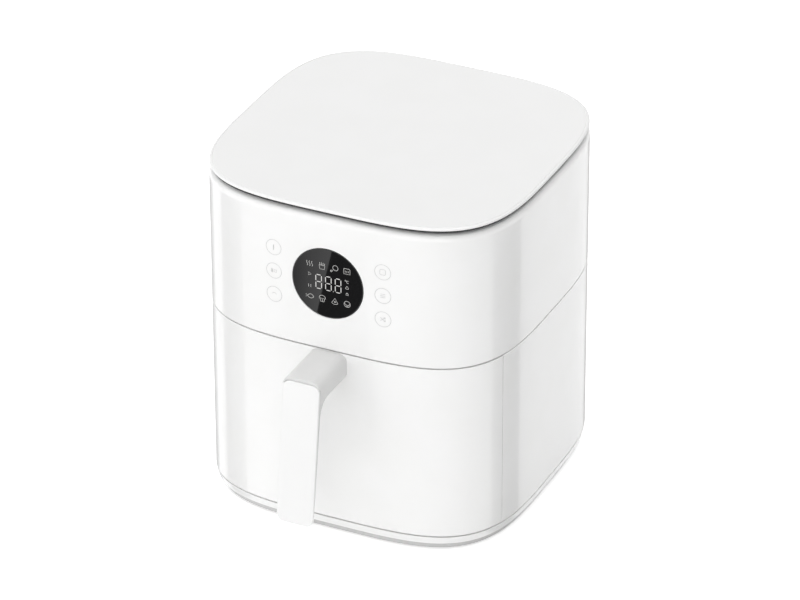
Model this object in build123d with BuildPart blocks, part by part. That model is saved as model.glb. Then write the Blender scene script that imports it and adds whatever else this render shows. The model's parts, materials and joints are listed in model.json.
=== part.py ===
"""Drawer air fryer: a rounded-square housing, a pull-out cooking pot with a crisper plate,
a heating coil, and a hot-air fan on the shaft of a motor under the lid. Millimetres.

Frame: +Z up, the handle and the display look towards -Y. The origin lies on the surface that the
feet stand on, at the centre of the whole object's footprint, so the housing's own axis stands at
y = axis_y. "Inset" always means the distance in from the housing's outer skin, and other places
across the plan are measured from the housing's axis.
"""

import os
from math import atan2, cos, degrees, radians, sin

from build123d import *

os.makedirs("parts", exist_ok=True)

# ------------------------------------------------------------------ outer housing, in plan
body_width = 280.0
body_depth = 280.0
corner_power = 3.7  # exponent of the rounded-square outline: 2 is an ellipse, more is squarer
outline_steps = 12  # spline points in each quarter of the outline
wall = 2.6  # plastic shells
edge_round = 0.6  # moulded edges beside a seam
reveal = 0.9  # open seam between two outer shells
drawer_front_depth = 53.0  # how far the drawer's front wraps back along the sides

# ------------------------------------------------------------------ outer housing, in height
foot_height = 1.6
tray_band = 6.0  # grey band under the base ring
ring_height = 8.1
drawer_zone = 162.7  # from the base ring to the seam under the upper housing
upper_height = 123.6
inlet_gap = 2.4  # air inlet under the lid
carrier_thickness = 1.8
lid_thickness = 2.4

# ------------------------------------------------------------------ fits and clearances
fit_gap = 0.15  # between pieces that seat in each other
seat_gap = 0.3  # between a moving piece and what carries it
drawer_clearance = 0.4  # over and under the drawer's front
running_gap = 0.05  # shafts in bearings, screws in their threads

# ------------------------------------------------------------------ base
ring_inset_low = 1.6  # the base ring narrows by this towards its lower edge
ring_round = 1.6
tray_inset = 4.6
tray_step = 2.0  # ledge on the tray that carries the base ring
tray_wall = 2.5
tray_floor = 2.5
tray_round = 1.5
tray_vent_length = 42.0
tray_vent_width = 3.0
tray_vent_pitch = 7.0
tray_vent_count = 7
base_post_radius = 6.0
base_post_pitch_x = 150.0
base_post_pitch_y = 130.0
foot_radius = 9.5
foot_inset = 26.0
foot_pocket = 1.0
foot_round = 0.8

# ------------------------------------------------------------------ fasteners
screw_radius = 1.5
screw_head_radius = 3.0
screw_head_height = 1.8
screw_recess = 1.0
case_boss_radius = 4.5
case_boss_height = 14.0
case_screw_length = 20.0
handle_screw_radius = 2.0
handle_screw_length = 17.0
handle_screw_pitch = 18.0

# ------------------------------------------------------------------ lower shell and cavity
lower_lip_inset = 14.0  # ledge around the top of the lower shell
lower_foot_inset = 22.0  # ledge around its bottom
insulation_gap = 22.0  # air between the outer shell and the steel liner
liner_sheet = 1.0
liner_floor_rise = 4.0  # liner's floor above the bottom of the shells
frame_thickness = 2.5
floor_gap = 5.0  # between the liner's floor and the pot
skid_width = 8.0
skid_pitch = 120.0
skid_length = 150.0
skid_round = 1.5
gland_x = -55.0
gland_height = 28.0  # cord gland's axis above the bottom of the lower shell
gland_side = 14.0  # square sleeve, so that the gland cannot turn in the wall
gland_corner = 2.0
gland_bore = 4.0
gland_flange_radius = 10.5
gland_flange = 2.0
gland_length = 12.0
gland_round = 1.2
peg_radius = 3.0  # peg on the drawer that works the door switch
peg_hole_gap = 1.0
peg_reach = 6.5
peg_drop = 20.0  # below the pot's rim
switch_width = 9.0
switch_height = 22.0
switch_depth = 10.0
switch_stand_off = 5.5
switch_post_radius = 1.5
switch_post_pitch = 14.0
switch_button_radius = 1.5

# ------------------------------------------------------------------ pot and crisper plate
pot_clearance = 1.9  # between the pot's rim and the liner
pot_rim_drop = 7.2  # pot's rim below the top of the drawer zone
rim_width = 2.5
pot_wall = 1.5
pot_draft = 4.0  # the pot's floor is this much smaller on each side
pot_floor_round = 12.0
pot_opening_gap = 1.2  # around the pot where it passes the drawer's front
back_plate = 2.2
bracket_width = 50.0
bracket_height = 40.0
bracket_sheet = 2.0
crisper_rise = 16.0  # plate's underside above the pot's floor
crisper_thickness = 2.0
crisper_edge_gap = 1.0
crisper_leg_radius = 4.0
crisper_leg_pitch = 120.0
slot_length = 22.0
slot_width = 5.0
slot_pitch_x = 30.0
slot_pitch_y = 14.0
slot_columns = 6
slot_rows = 11
bumper_radius = 4.5
bumper_neck_radius = 2.5
bumper_lip = 2.0
bumper_gap = 1.2  # beside the pot's corners, enough for a wider body too

# ------------------------------------------------------------------ handle
handle_width = 33.2
handle_reach_top = 50.4
handle_reach = 67.4
handle_drop = 0.1  # handle's top below the drawer's top edge
handle_length = 129.6
handle_bracket_height = 23.6
grip_thickness_top = 9.8
grip_thickness_bottom = 7.4
handle_hollow_radius = 13.0  # under the bracket, where the fingers go
handle_corner = 7.0
handle_top_plate = 2.4
cover_thickness = 2.6
cover_groove = 0.7
cover_groove_depth = 1.6
cover_round = 0.6

# ------------------------------------------------------------------ heating chamber
flange_thickness = 2.6
chamber_height = 48.3  # from the top of the lower shell to the deck
skirt_inset = 22.0
deck_hole_radius = 8.0
shield_inset = 26.6
shield_sheet = 1.0
shield_drop = 6.0  # air between the heat shield and the deck
spacer_radius = 4.0
spacer_inset = 38.0
coil_rise = 9.7  # coil's middle above the chamber's flange
coil_tube_radius = 3.25
coil_outer_radius = 84.0
coil_inner_radius = 68.0
coil_start = 100.0
coil_sweep = 340.0
coil_hole_gap = 0.2
bush_radius = 6.0
bush_proud = 3.0
clip_radius = 2.5
clip_angles = (30, 150, 270)
guard_wire = 2.0
guard_rings = (30.0, 60.0, 90.0)
guard_lift = 1.0
duct_width = 86.0
duct_height = 28.0
duct_wall = 1.5
duct_lift = 9.0  # duct's floor above the chamber's flange
sensor_x = -95.0
sensor_y = 40.0
sensor_radius = 2.5
sensor_drop = 28.0
sensor_flange_radius = 7.0
sensor_flange = 1.5
fuse_x = -62.0
fuse_y = -72.0
fuse_length = 26.0
fuse_width = 9.0
fuse_height = 6.0

# ------------------------------------------------------------------ motor and fans
motor_boss_height = 6.0
motor_boss_radius = 4.0
motor_boss_circle = 38.0
motor_radius = 31.0
motor_height = 30.0
motor_can_wall = 1.2
motor_ear_radius = 8.0
motor_ear_thickness = 1.5
stator_bore = 17.0
stator_height = 22.0
rotor_gap = 0.6
bearing_radius = 5.5
bearing_flange_radius = 7.5
bearing_flange = 1.5
bearing_length = 6.0
shaft_radius = 2.5
shaft_length = 88.0
shaft_top_space = 19.1  # from the shaft's end to the top of the upper housing
fan_hub_radius = 7.0
fan_sheet = 1.2
blade_start = 18.0  # blades run from here to the plate's edge
blade_angle = 18.0
hot_fan_radius = 60.0
hot_fan_height = 13.0
hot_fan_blades = 8
hot_fan_drop = 10.0  # below the heat shield
cooling_fan_radius = 42.0
cooling_fan_height = 9.0
cooling_fan_blades = 7
cooling_fan_rise = 5.0  # above the motor's end cap
nut_height = 3.5
nut_radius = 4.5

# ------------------------------------------------------------------ upper housing, lid
upper_edge_round = 6.5
upper_ledge_inset = 16.0
top_flange_inset = 18.0
lid_inset = 0.3
lid_edge_round = 2.2
carrier_inset = 1.6
lid_pad_radius = 5.0
lid_pad_inset = 11.8
lid_pad_angles = (20, 70, 110, 160, 200, 250, 290, 340)
lid_screw_angles = (20, 160, 200, 340)
grille_margin = 2.0  # grille's opening around the duct
grille_backing = 1.5
grille_backing_margin = 4.0
grille_slot_height = 2.6
grille_slot_pitch = 5.0
grille_slot_count = 5
grille_slot_length = 78.0

# ------------------------------------------------------------------ controls
display_radius = 32.4
display_height = 62.4  # display's centre above the seam
key_offset = 49.3
key_pitch = 22.0
spring_radius = 4.5
spring_wall = 1.0
board_setback = 8.0  # board's face behind the housing's skin
board_width = 118.0
board_height = 70.0
board_thickness = 1.6
board_boss_radius = 3.5
board_boss_margin = 4.0
module_radius = 31.0
power_board_x = 78.0
power_board_width = 56.0
power_board_length = 96.0
power_standoff = 7.0
power_standoff_radius = 3.0
power_standoff_margin = 4.0
# upright parts on the power board: across and along from its middle, width, length, height
transformer = (-12.0, 28.0, 26.0, 26.0, 22.0)
relay = (12.0, 30.0, 16.0, 20.0, 16.0)
heat_sink = (18.0, -20.0, 6.0, 40.0, 24.0)
terminals = (-16.0, -36.0, 14.0, 16.0, 12.0)
capacitor = (-8.0, -8.0)
capacitor_radius = 8.0
capacitor_height = 20.0

# ------------------------------------------------------------------ worked-out places
axis_y = handle_reach / 2
front_y = -body_depth / 2
back_y = body_depth / 2
split_y = front_y + drawer_front_depth

tray_z = foot_height
ring_z = tray_z + tray_band
shell_z = ring_z + ring_height
lower_top_z = shell_z + drawer_zone - reveal
seam_z = lower_top_z + reveal
upper_top_z = seam_z + upper_height
carrier_z = upper_top_z + inlet_gap
lid_z = carrier_z + carrier_thickness

flange_top_z = lower_top_z + flange_thickness
deck_z = lower_top_z + chamber_height
deck_top_z = deck_z + flange_thickness
shield_z = deck_z - shield_drop
liner_z = shell_z + liner_floor_rise
pot_z = liner_z + liner_sheet + floor_gap
pot_rim_z = lower_top_z - pot_rim_drop
drawer_z = shell_z + drawer_clearance
drawer_top_z = lower_top_z - drawer_clearance

ledge_inset = tray_inset + tray_step
case_screw_inset = ledge_inset + fit_gap + case_boss_radius
liner_outer = wall + insulation_gap
liner_inner = liner_outer + liner_sheet
pot_rim_inset = liner_inner + pot_clearance
pot_inset = pot_rim_inset + rim_width
pot_opening_inset = pot_rim_inset - pot_opening_gap


def level(z):
    """Horizontal sketch plane at height z, centred on the housing's axis."""
    return Plane((0, axis_y, z))


def facing_front(y):
    """Upright sketch plane at depth y from the housing's axis, seen from the front."""
    return Plane((0, axis_y + y, 0), x_dir=(1, 0, 0), z_dir=(0, -1, 0))


side_view = Plane((0, axis_y, 0), x_dir=(0, 1, 0), z_dir=(1, 0, 0))


def on_outline(inset, angle):
    """Point of the rounded-square outline, moved in by inset, in the direction of angle (degrees)."""
    c = cos(radians(angle))
    s = sin(radians(angle))
    half_x = body_width / 2 - inset
    half_y = body_depth / 2 - inset
    reach = (abs(c / half_x) ** corner_power + abs(s / half_y) ** corner_power) ** (-1 / corner_power)
    return (reach * c, reach * s)


def outline_depth(inset, x):
    """How far behind the housing's axis the outline, moved in by inset, lies at x."""
    share = abs(x) / (body_width / 2 - inset)
    return (body_depth / 2 - inset) * (1 - share**corner_power) ** (1 / corner_power)


def outline_reach(inset, y):
    """How far beside the housing's axis the outline, moved in by inset, lies at depth y."""
    share = abs(y) / (body_depth / 2 - inset)
    return (body_width / 2 - inset) * (1 - share**corner_power) ** (1 / corner_power)


def on_circle(radius, angle):
    """Point of a circle round the housing's axis."""
    return (radius * cos(radians(angle)), radius * sin(radians(angle)))


def rounded_square(inset):
    """Face bounded by the housing's outline, moved in by inset."""
    quarter = [on_outline(inset, 90 * step / outline_steps) for step in range(outline_steps + 1)]
    with BuildSketch() as face:
        with BuildLine():
            Spline(*quarter, tangents=((0, 1), (-1, 0)))
            mirror(about=Plane.YZ)
            mirror(about=Plane.XZ)
        make_face()
    return face.sketch


def ring_face(outer_inset, inner_inset):
    """Ring between two insets of the housing's outline."""
    with BuildSketch() as face:
        add(rounded_square(outer_inset))
        add(rounded_square(inner_inset), mode=Mode.SUBTRACT)
    return face.sketch


def strip(y_low, y_high):
    """Band across the whole plan between two depths, wide enough to cut any ring."""
    with BuildSketch() as face:
        with Locations((0, (y_low + y_high) / 2)):
            Rectangle(2 * body_width, y_high - y_low)
    return face.sketch


def save(piece, name):
    """Labels a finished piece and writes its STEP file."""
    piece.part.label = name
    export_step(piece.part, f"parts/{name}.step")


# ------------------------------------------------------------------ base: tray, ring, feet
foot_places = [on_outline(foot_inset, angle) for angle in (45, 135, 225, 315)]
case_screw_places = [on_outline(case_screw_inset, angle) for angle in (-25, 205, 50, 130)]
screw_pocket = screw_recess + screw_head_height

with BuildPart() as base_tray:
    with BuildSketch(level(tray_z)):
        add(rounded_square(tray_inset))
    extrude(amount=tray_band)
    fillet(base_tray.edges().group_by(Axis.Z)[0], radius=tray_round)
    with BuildSketch(level(ring_z)):
        add(rounded_square(ledge_inset))
    extrude(amount=ring_height - drawer_clearance)
    with BuildSketch(level(tray_z + tray_floor)):
        add(rounded_square(ledge_inset + tray_wall))
    extrude(amount=shell_z, mode=Mode.SUBTRACT)
    with BuildSketch(level(tray_z + tray_floor)):
        with GridLocations(base_post_pitch_x, base_post_pitch_y, 2, 2):
            Circle(base_post_radius)
    extrude(amount=liner_z - tray_z - tray_floor)
    with BuildSketch(level(tray_z + tray_floor)):
        with Locations(*case_screw_places):
            Circle(case_boss_radius)
    extrude(amount=shell_z - tray_z - tray_floor)
    with BuildSketch(level(tray_z)):
        with Locations(*case_screw_places):
            Circle(screw_radius + fit_gap)
    extrude(amount=shell_z - tray_z, mode=Mode.SUBTRACT)
    with BuildSketch(level(tray_z)):
        with Locations(*case_screw_places):
            Circle(screw_head_radius + fit_gap)
    extrude(amount=screw_pocket, mode=Mode.SUBTRACT)
    with BuildSketch(level(tray_z)):
        with Locations(*foot_places):
            Circle(foot_radius + fit_gap)
    extrude(amount=foot_pocket, mode=Mode.SUBTRACT)
    with BuildSketch(level(tray_z)):
        with GridLocations(0, tray_vent_pitch, 1, tray_vent_count):
            SlotOverall(tray_vent_length, tray_vent_width)
    extrude(amount=tray_floor, mode=Mode.SUBTRACT)
save(base_tray, "base_tray")

with BuildPart() as base_ring:
    with BuildSketch(level(ring_z)):
        add(rounded_square(ring_inset_low))
    with BuildSketch(level(shell_z - reveal)):
        add(rounded_square(0))
    loft()
    fillet(base_ring.edges().group_by(Axis.Z)[0], radius=ring_round)
    fillet(base_ring.edges().group_by(Axis.Z)[-1], radius=edge_round)
    with BuildSketch(level(ring_z)):
        add(rounded_square(ledge_inset - fit_gap))
    extrude(amount=ring_height, mode=Mode.SUBTRACT)
save(base_ring, "base_ring")

for corner, place in zip(("rear_right", "rear_left", "front_left", "front_right"), foot_places):
    with BuildPart() as foot:
        with BuildSketch(level(0)):
            with Locations(place):
                Circle(foot_radius)
        extrude(amount=foot_height + foot_pocket)
        fillet(foot.edges().group_by(Axis.Z)[0], radius=foot_round)
    save(foot, f"foot_{corner}")

with BuildPart() as base_screws:
    with BuildSketch(level(tray_z + screw_recess)):
        with Locations(*case_screw_places):
            Circle(screw_head_radius)
    extrude(amount=screw_head_height)
    with BuildSketch(level(tray_z + screw_pocket)):
        with Locations(*case_screw_places):
            Circle(screw_radius)
    extrude(amount=case_screw_length)
save(base_screws, "base_screws")

# ------------------------------------------------------------------ lower shell
frame_front_y = split_y + reveal
frame_back_y = frame_front_y + frame_thickness
gland_z = shell_z + gland_height
gland_y = outline_depth(0, gland_x)
gland_flange_y = outline_depth(wall, abs(gland_x) + gland_flange_radius) - fit_gap

with BuildPart() as lower_shell:
    with BuildSketch(level(shell_z)):
        add(rounded_square(0))
    extrude(amount=lower_top_z - shell_z)
    fillet(lower_shell.edges().group_by(Axis.Z)[0], radius=edge_round)
    fillet(lower_shell.edges().group_by(Axis.Z)[-1], radius=edge_round)
    with BuildSketch(level(shell_z + wall)):
        add(rounded_square(wall))
    extrude(amount=lower_top_z - shell_z - 2 * wall, mode=Mode.SUBTRACT)
    with BuildSketch(level(shell_z)):
        add(rounded_square(lower_foot_inset))
    extrude(amount=wall, mode=Mode.SUBTRACT)
    with BuildSketch(level(lower_top_z - wall)):
        add(rounded_square(lower_lip_inset))
    extrude(amount=wall, mode=Mode.SUBTRACT)
    with BuildSketch(level(shell_z + wall)):
        with Locations(*case_screw_places):
            Circle(case_boss_radius)
    extrude(amount=case_boss_height - wall)
    with BuildSketch(level(shell_z)):
        with Locations(*case_screw_places):
            Circle(screw_radius + running_gap)
    extrude(amount=case_boss_height - wall, mode=Mode.SUBTRACT)
    with BuildSketch(level(lower_top_z - wall)):
        with Locations(*case_screw_places):
            Circle(screw_radius + fit_gap)
    extrude(amount=wall, mode=Mode.SUBTRACT)
    with BuildSketch(level(shell_z)):
        add(strip(2 * front_y, frame_front_y))
    extrude(amount=drawer_zone, mode=Mode.SUBTRACT)
    with BuildSketch(facing_front(back_y / 2)):
        with Locations((gland_x, gland_z)):
            RectangleRounded(gland_side + 2 * fit_gap, gland_side + 2 * fit_gap, gland_corner)
    extrude(amount=-back_y, mode=Mode.SUBTRACT)
save(lower_shell, "lower_shell")

opening_top_z = pot_rim_z + pot_clearance
switch_x = (outline_reach(wall, frame_back_y) + body_width / 2 - liner_outer) / 2
switch_z = pot_rim_z - peg_drop
switch_front_y = frame_back_y + switch_stand_off
switch_posts = [(switch_x, switch_z + side * switch_post_pitch / 2) for side in (-1, 1)]

with BuildPart() as front_frame:
    with BuildSketch(level(shell_z + wall)):
        add(rounded_square(wall + fit_gap))
        add(strip(frame_front_y, frame_back_y), mode=Mode.INTERSECT)
    extrude(amount=lower_top_z - 2 * wall - shell_z)
    with BuildSketch(facing_front(frame_back_y)):
        with Locations((0, (liner_z + opening_top_z) / 2)):
            Rectangle(body_width - 2 * liner_inner, opening_top_z - liner_z)
        with Locations((switch_x, switch_z)):
            Circle(peg_radius + peg_hole_gap)
    extrude(amount=frame_thickness, mode=Mode.SUBTRACT)
    with BuildSketch(facing_front(switch_front_y)):
        with Locations(*switch_posts):
            Circle(switch_post_radius)
    extrude(amount=switch_stand_off)
save(front_frame, "front_frame")

with BuildPart() as door_switch:
    with BuildSketch(facing_front(switch_front_y)):
        with Locations((switch_x, switch_z)):
            Rectangle(switch_width, switch_height)
    extrude(amount=-switch_depth)
    with BuildSketch(facing_front(split_y + peg_reach + seat_gap)):
        with Locations((switch_x, switch_z)):
            Circle(switch_button_radius)
    extrude(until=Until.NEXT, dir=(0, 1, 0))
save(door_switch, "door_switch")


def cavity_plan(inset):
    """Plan of the drawer's cavity: round at the back, straight-sided out to the front frame."""
    with BuildSketch() as face:
        add(rounded_square(inset))
        with Locations((0, frame_back_y / 2)):
            Rectangle(body_width - 2 * inset, -frame_back_y)
        add(strip(3 * front_y, frame_back_y), mode=Mode.SUBTRACT)
    return face.sketch


with BuildPart() as cavity_liner:
    with BuildSketch(level(liner_z)):
        add(cavity_plan(liner_outer))
    extrude(amount=lower_top_z - liner_z)
    with BuildSketch(level(lower_top_z - liner_sheet)):
        add(rounded_square(lower_lip_inset + fit_gap))
        add(strip(3 * front_y, frame_back_y), mode=Mode.SUBTRACT)
    extrude(amount=liner_sheet)
    with BuildSketch(level(liner_z + liner_sheet)):
        add(cavity_plan(liner_inner))
    extrude(amount=lower_top_z, mode=Mode.SUBTRACT)
save(cavity_liner, "cavity_liner")

for side, x in (("left", -skid_pitch / 2), ("right", skid_pitch / 2)):
    with BuildPart() as skid:
        with BuildSketch(level(liner_z + liner_sheet)):
            with Locations((x, 0)):
                SlotOverall(skid_length, skid_width, rotation=90)
        extrude(amount=floor_gap - seat_gap)
        fillet(skid.edges().group_by(Axis.Z)[-1], radius=skid_round)
    save(skid, f"drawer_skid_{side}")

with BuildPart() as cord_gland:
    with BuildSketch(facing_front(gland_y)):
        with Locations((gland_x, gland_z)):
            RectangleRounded(gland_side, gland_side, gland_corner)
    extrude(amount=gland_length)
    with BuildSketch(facing_front(gland_flange_y)):
        with Locations((gland_x, gland_z)):
            Circle(gland_flange_radius)
    extrude(amount=gland_flange)
    fillet(cord_gland.edges().group_by(Axis.Y)[-1], radius=gland_round)
    with BuildSketch(facing_front(gland_y)):
        with Locations((gland_x, gland_z)):
            Circle(gland_bore)
    extrude(amount=gland_length, mode=Mode.SUBTRACT)
save(cord_gland, "cord_gland")

# ------------------------------------------------------------------ drawer: front and handle
pot_height = pot_rim_z - pot_z
pot_floor_inset = pot_inset + pot_draft
handle_top_z = drawer_top_z - handle_drop
handle_low_z = handle_top_z - handle_length
bracket_low_z = handle_top_z - handle_bracket_height
grip_top_y = front_y - handle_reach_top
grip_low_y = front_y - handle_reach
grip_lean = (grip_top_y - grip_low_y) / handle_length
handle_screw_z = (handle_top_z + bracket_low_z) / 2
handle_screw_places = [(side * handle_screw_pitch / 2, handle_screw_z) for side in (-1, 1)]

with BuildPart() as drawer_front:
    with BuildSketch(level(drawer_z)):
        add(rounded_square(0))
    extrude(amount=drawer_top_z - drawer_z)
    fillet(drawer_front.edges().group_by(Axis.Z)[0], radius=edge_round)
    fillet(drawer_front.edges().group_by(Axis.Z)[-1], radius=edge_round)
    with BuildSketch(level(drawer_z + wall)):
        add(rounded_square(wall))
    extrude(amount=drawer_top_z - drawer_z - 2 * wall, mode=Mode.SUBTRACT)
    with BuildSketch(level(drawer_top_z - wall)):
        add(rounded_square(pot_opening_inset))
    extrude(amount=wall, mode=Mode.SUBTRACT)
    with BuildSketch(level(drawer_z)):
        add(strip(split_y, 2 * back_y))
    extrude(amount=drawer_zone, mode=Mode.SUBTRACT)
    with BuildSketch(facing_front(front_y / 2)):
        with Locations(*handle_screw_places):
            Circle(handle_screw_radius + fit_gap)
    extrude(amount=body_depth, mode=Mode.SUBTRACT)
save(drawer_front, "drawer_front")

with BuildPart() as drawer_back_plate:
    with BuildSketch(level(drawer_z + wall)):
        add(rounded_square(wall + fit_gap))
        add(strip(split_y - back_plate, split_y), mode=Mode.INTERSECT)
    extrude(amount=drawer_top_z - drawer_z - 2 * wall)
    with BuildSketch(level(pot_z - pot_opening_gap)):
        add(rounded_square(pot_opening_inset))
    extrude(amount=drawer_zone, mode=Mode.SUBTRACT)
    with BuildSketch(facing_front(split_y + peg_reach)):
        with Locations((switch_x, switch_z)):
            Circle(peg_radius)
    extrude(amount=peg_reach)
save(drawer_back_plate, "drawer_back_plate")


def grip_front(z):
    """Depth of the handle's leaning front face at height z."""
    return grip_top_y - (handle_top_z - z) * grip_lean


def grip_slab(near, far, low_z, high_z, margin):
    """Slab that leans with the handle's front face, between two distances behind that face."""
    width = handle_width - 2 * margin
    with BuildPart() as slab:
        with BuildSketch(side_view):
            with BuildLine():
                Polyline(
                    (grip_front(high_z) + near, high_z),
                    (grip_front(low_z) + near, low_z),
                    (grip_front(low_z) + far, low_z),
                    (grip_front(high_z) + far, high_z),
                    close=True,
                )
            make_face()
        extrude(amount=width / 2, both=True)
        with BuildSketch(facing_front(front_y)):
            with Locations((0, (low_z + high_z) / 2)):
                RectangleRounded(width, high_z - low_z, handle_corner - margin)
        extrude(amount=handle_reach, mode=Mode.INTERSECT)
    return slab.part


cover_top_z = handle_top_z - handle_top_plate - cover_groove
hollow_y = grip_front(bracket_low_z) + grip_thickness_top

with BuildPart() as handle_body:
    with BuildSketch(side_view):
        with BuildLine():
            Polyline(
                (front_y - running_gap, handle_top_z),
                (grip_top_y, handle_top_z),
                (grip_low_y, handle_low_z),
                (grip_low_y + grip_thickness_bottom, handle_low_z),
                (hollow_y, bracket_low_z),
                (front_y - running_gap, bracket_low_z),
                close=True,
            )
        make_face()
    extrude(amount=handle_width / 2, both=True)
    hollow = handle_body.edges().filter_by(Axis.X).sort_by_distance((0, axis_y + hollow_y, bracket_low_z))
    fillet(hollow[0], radius=handle_hollow_radius)
    underside = handle_body.edges().filter_by_position(Axis.Z, bracket_low_z, bracket_low_z)
    fillet(underside.filter_by(Axis.Y), radius=handle_corner)
    with BuildSketch(facing_front(front_y)):
        with Locations((0, (handle_low_z + handle_top_z) / 2)):
            RectangleRounded(handle_width, handle_length, handle_corner)
    extrude(amount=handle_reach, mode=Mode.INTERSECT)
    recess_top_z = cover_top_z + cover_groove
    recess = grip_slab(-cover_thickness, cover_thickness, handle_low_z - handle_corner, recess_top_z, -cover_groove)
    add(recess, mode=Mode.SUBTRACT)
    with BuildSketch(facing_front(front_y)):
        with Locations(*handle_screw_places):
            Circle(handle_screw_radius + running_gap)
    extrude(amount=handle_screw_length - wall, mode=Mode.SUBTRACT)
save(handle_body, "handle_body")

with BuildPart() as handle_cover:
    add(grip_slab(0, cover_thickness - cover_groove, handle_low_z, cover_top_z, 0))
    fillet(handle_cover.faces().sort_by(Axis.Y)[0].edges(), radius=cover_round)
    add(grip_slab(cover_thickness - cover_groove, cover_thickness, handle_low_z + cover_groove_depth,
                  cover_top_z - cover_groove_depth, cover_groove_depth))
save(handle_cover, "handle_cover")

bracket_front_y = fit_gap - outline_depth(wall, bracket_width / 2)

with BuildPart() as handle_screws:
    with BuildSketch(facing_front(bracket_front_y + bracket_sheet)):
        with Locations(*handle_screw_places):
            Circle(handle_screw_radius)
    extrude(amount=handle_screw_length)
    with BuildSketch(facing_front(bracket_front_y + bracket_sheet)):
        with Locations(*handle_screw_places):
            Circle(2 * handle_screw_radius)
    extrude(amount=-screw_head_height)
save(handle_screws, "handle_screws")


# ------------------------------------------------------------------ drawer: pot and crisper plate
def pot_form(gap, floor_round):
    """Solid of the pot's outside, moved out by gap, with its floor's edge rounded."""
    with BuildPart() as form:
        with BuildSketch(level(pot_z - gap)):
            add(rounded_square(pot_floor_inset - gap))
        with BuildSketch(level(pot_rim_z)):
            add(rounded_square(pot_inset - gap))
        loft()
        fillet(form.edges().group_by(Axis.Z)[0], radius=floor_round)
    return form.part


pot_solid = pot_form(0, pot_floor_round)
pot_inside = pot_form(-pot_wall, pot_floor_round - pot_wall)

with BuildPart() as pot:
    add(pot_solid)
    with BuildSketch(level(pot_rim_z - pot_wall)):
        add(rounded_square(pot_rim_inset))
    extrude(amount=pot_wall)
    add(pot_inside, mode=Mode.SUBTRACT)
save(pot, "pot")

with BuildPart() as pot_bracket:
    with BuildSketch(facing_front(bracket_front_y + bracket_sheet)):
        with Locations((0, handle_screw_z)):
            Rectangle(bracket_width, bracket_height)
    extrude(amount=bracket_sheet)
    with BuildSketch(facing_front(bracket_front_y + bracket_sheet)):
        for x in (-bracket_width / 2 + bracket_sheet / 2, bracket_width / 2 - bracket_sheet / 2):
            with Locations((x, handle_screw_z)):
                Rectangle(bracket_sheet, bracket_height)
    extrude(amount=bracket_front_y)
    add(pot_form(fit_gap, pot_floor_round), mode=Mode.SUBTRACT)
    with BuildSketch(level(pot_rim_z - pot_wall - fit_gap)):
        add(rounded_square(0))
    extrude(amount=drawer_zone, mode=Mode.SUBTRACT)
    with BuildSketch(facing_front(front_y / 2)):
        with Locations(*handle_screw_places):
            Circle(handle_screw_radius + fit_gap)
    extrude(amount=body_depth, mode=Mode.SUBTRACT)
save(pot_bracket, "pot_bracket")

pot_floor_z = pot_z + pot_wall
crisper_z = pot_floor_z + crisper_rise
pot_inner_inset = pot_floor_inset + pot_wall - pot_draft * (crisper_z - pot_z) / pot_height
crisper_inset = pot_inner_inset + crisper_edge_gap
corner_stretch = 2 ** (0.5 - 1 / corner_power)  # the outline's reach at its corners against its sides
bumper_slope = pot_draft * bumper_lip / pot_height  # the pot narrows by this over the bumper's lower lip
bumper_inset = pot_inner_inset + (bumper_radius + bumper_gap) / corner_stretch + bumper_slope
bumper_places = [on_outline(bumper_inset, angle) for angle in (45, 135, 225, 315)]

with BuildPart() as crisper_plate:
    with BuildSketch(level(crisper_z)):
        add(rounded_square(crisper_inset))
        with Locations(*bumper_places):
            Circle(bumper_neck_radius, mode=Mode.SUBTRACT)
        with GridLocations(slot_pitch_x, slot_pitch_y, slot_columns, slot_rows):
            SlotOverall(slot_length, slot_width, mode=Mode.SUBTRACT)
    extrude(amount=crisper_thickness)
    with BuildSketch(level(pot_floor_z + seat_gap)):
        with GridLocations(crisper_leg_pitch, crisper_leg_pitch, 2, 2):
            Circle(crisper_leg_radius)
    extrude(amount=crisper_rise - seat_gap)
save(crisper_plate, "crisper_plate")

with BuildPart() as crisper_bumpers:
    with BuildSketch(level(crisper_z - bumper_lip)):
        with Locations(*bumper_places):
            Circle(bumper_radius)
    extrude(amount=bumper_lip)
    with BuildSketch(level(crisper_z)):
        with Locations(*bumper_places):
            Circle(bumper_neck_radius)
    extrude(amount=crisper_thickness)
    with BuildSketch(level(crisper_z + crisper_thickness)):
        with Locations(*bumper_places):
            Circle(bumper_radius)
    extrude(amount=bumper_lip)
save(crisper_bumpers, "crisper_bumpers")

# ------------------------------------------------------------------ heating chamber
spacer_places = [on_outline(spacer_inset, angle) for angle in (45, 135, 225, 315)]
motor_boss_angles = (90, 210, 330)
motor_boss_places = [on_circle(motor_boss_circle, angle) for angle in motor_boss_angles]
terminal_places = [on_circle(coil_outer_radius, coil_start), on_circle(coil_inner_radius, coil_start)]
duct_low_z = flange_top_z + duct_lift
duct_z = duct_low_z + duct_height / 2
board_x_pitch = power_board_width - 2 * power_standoff_margin
board_y_pitch = power_board_length - 2 * power_standoff_margin

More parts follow.
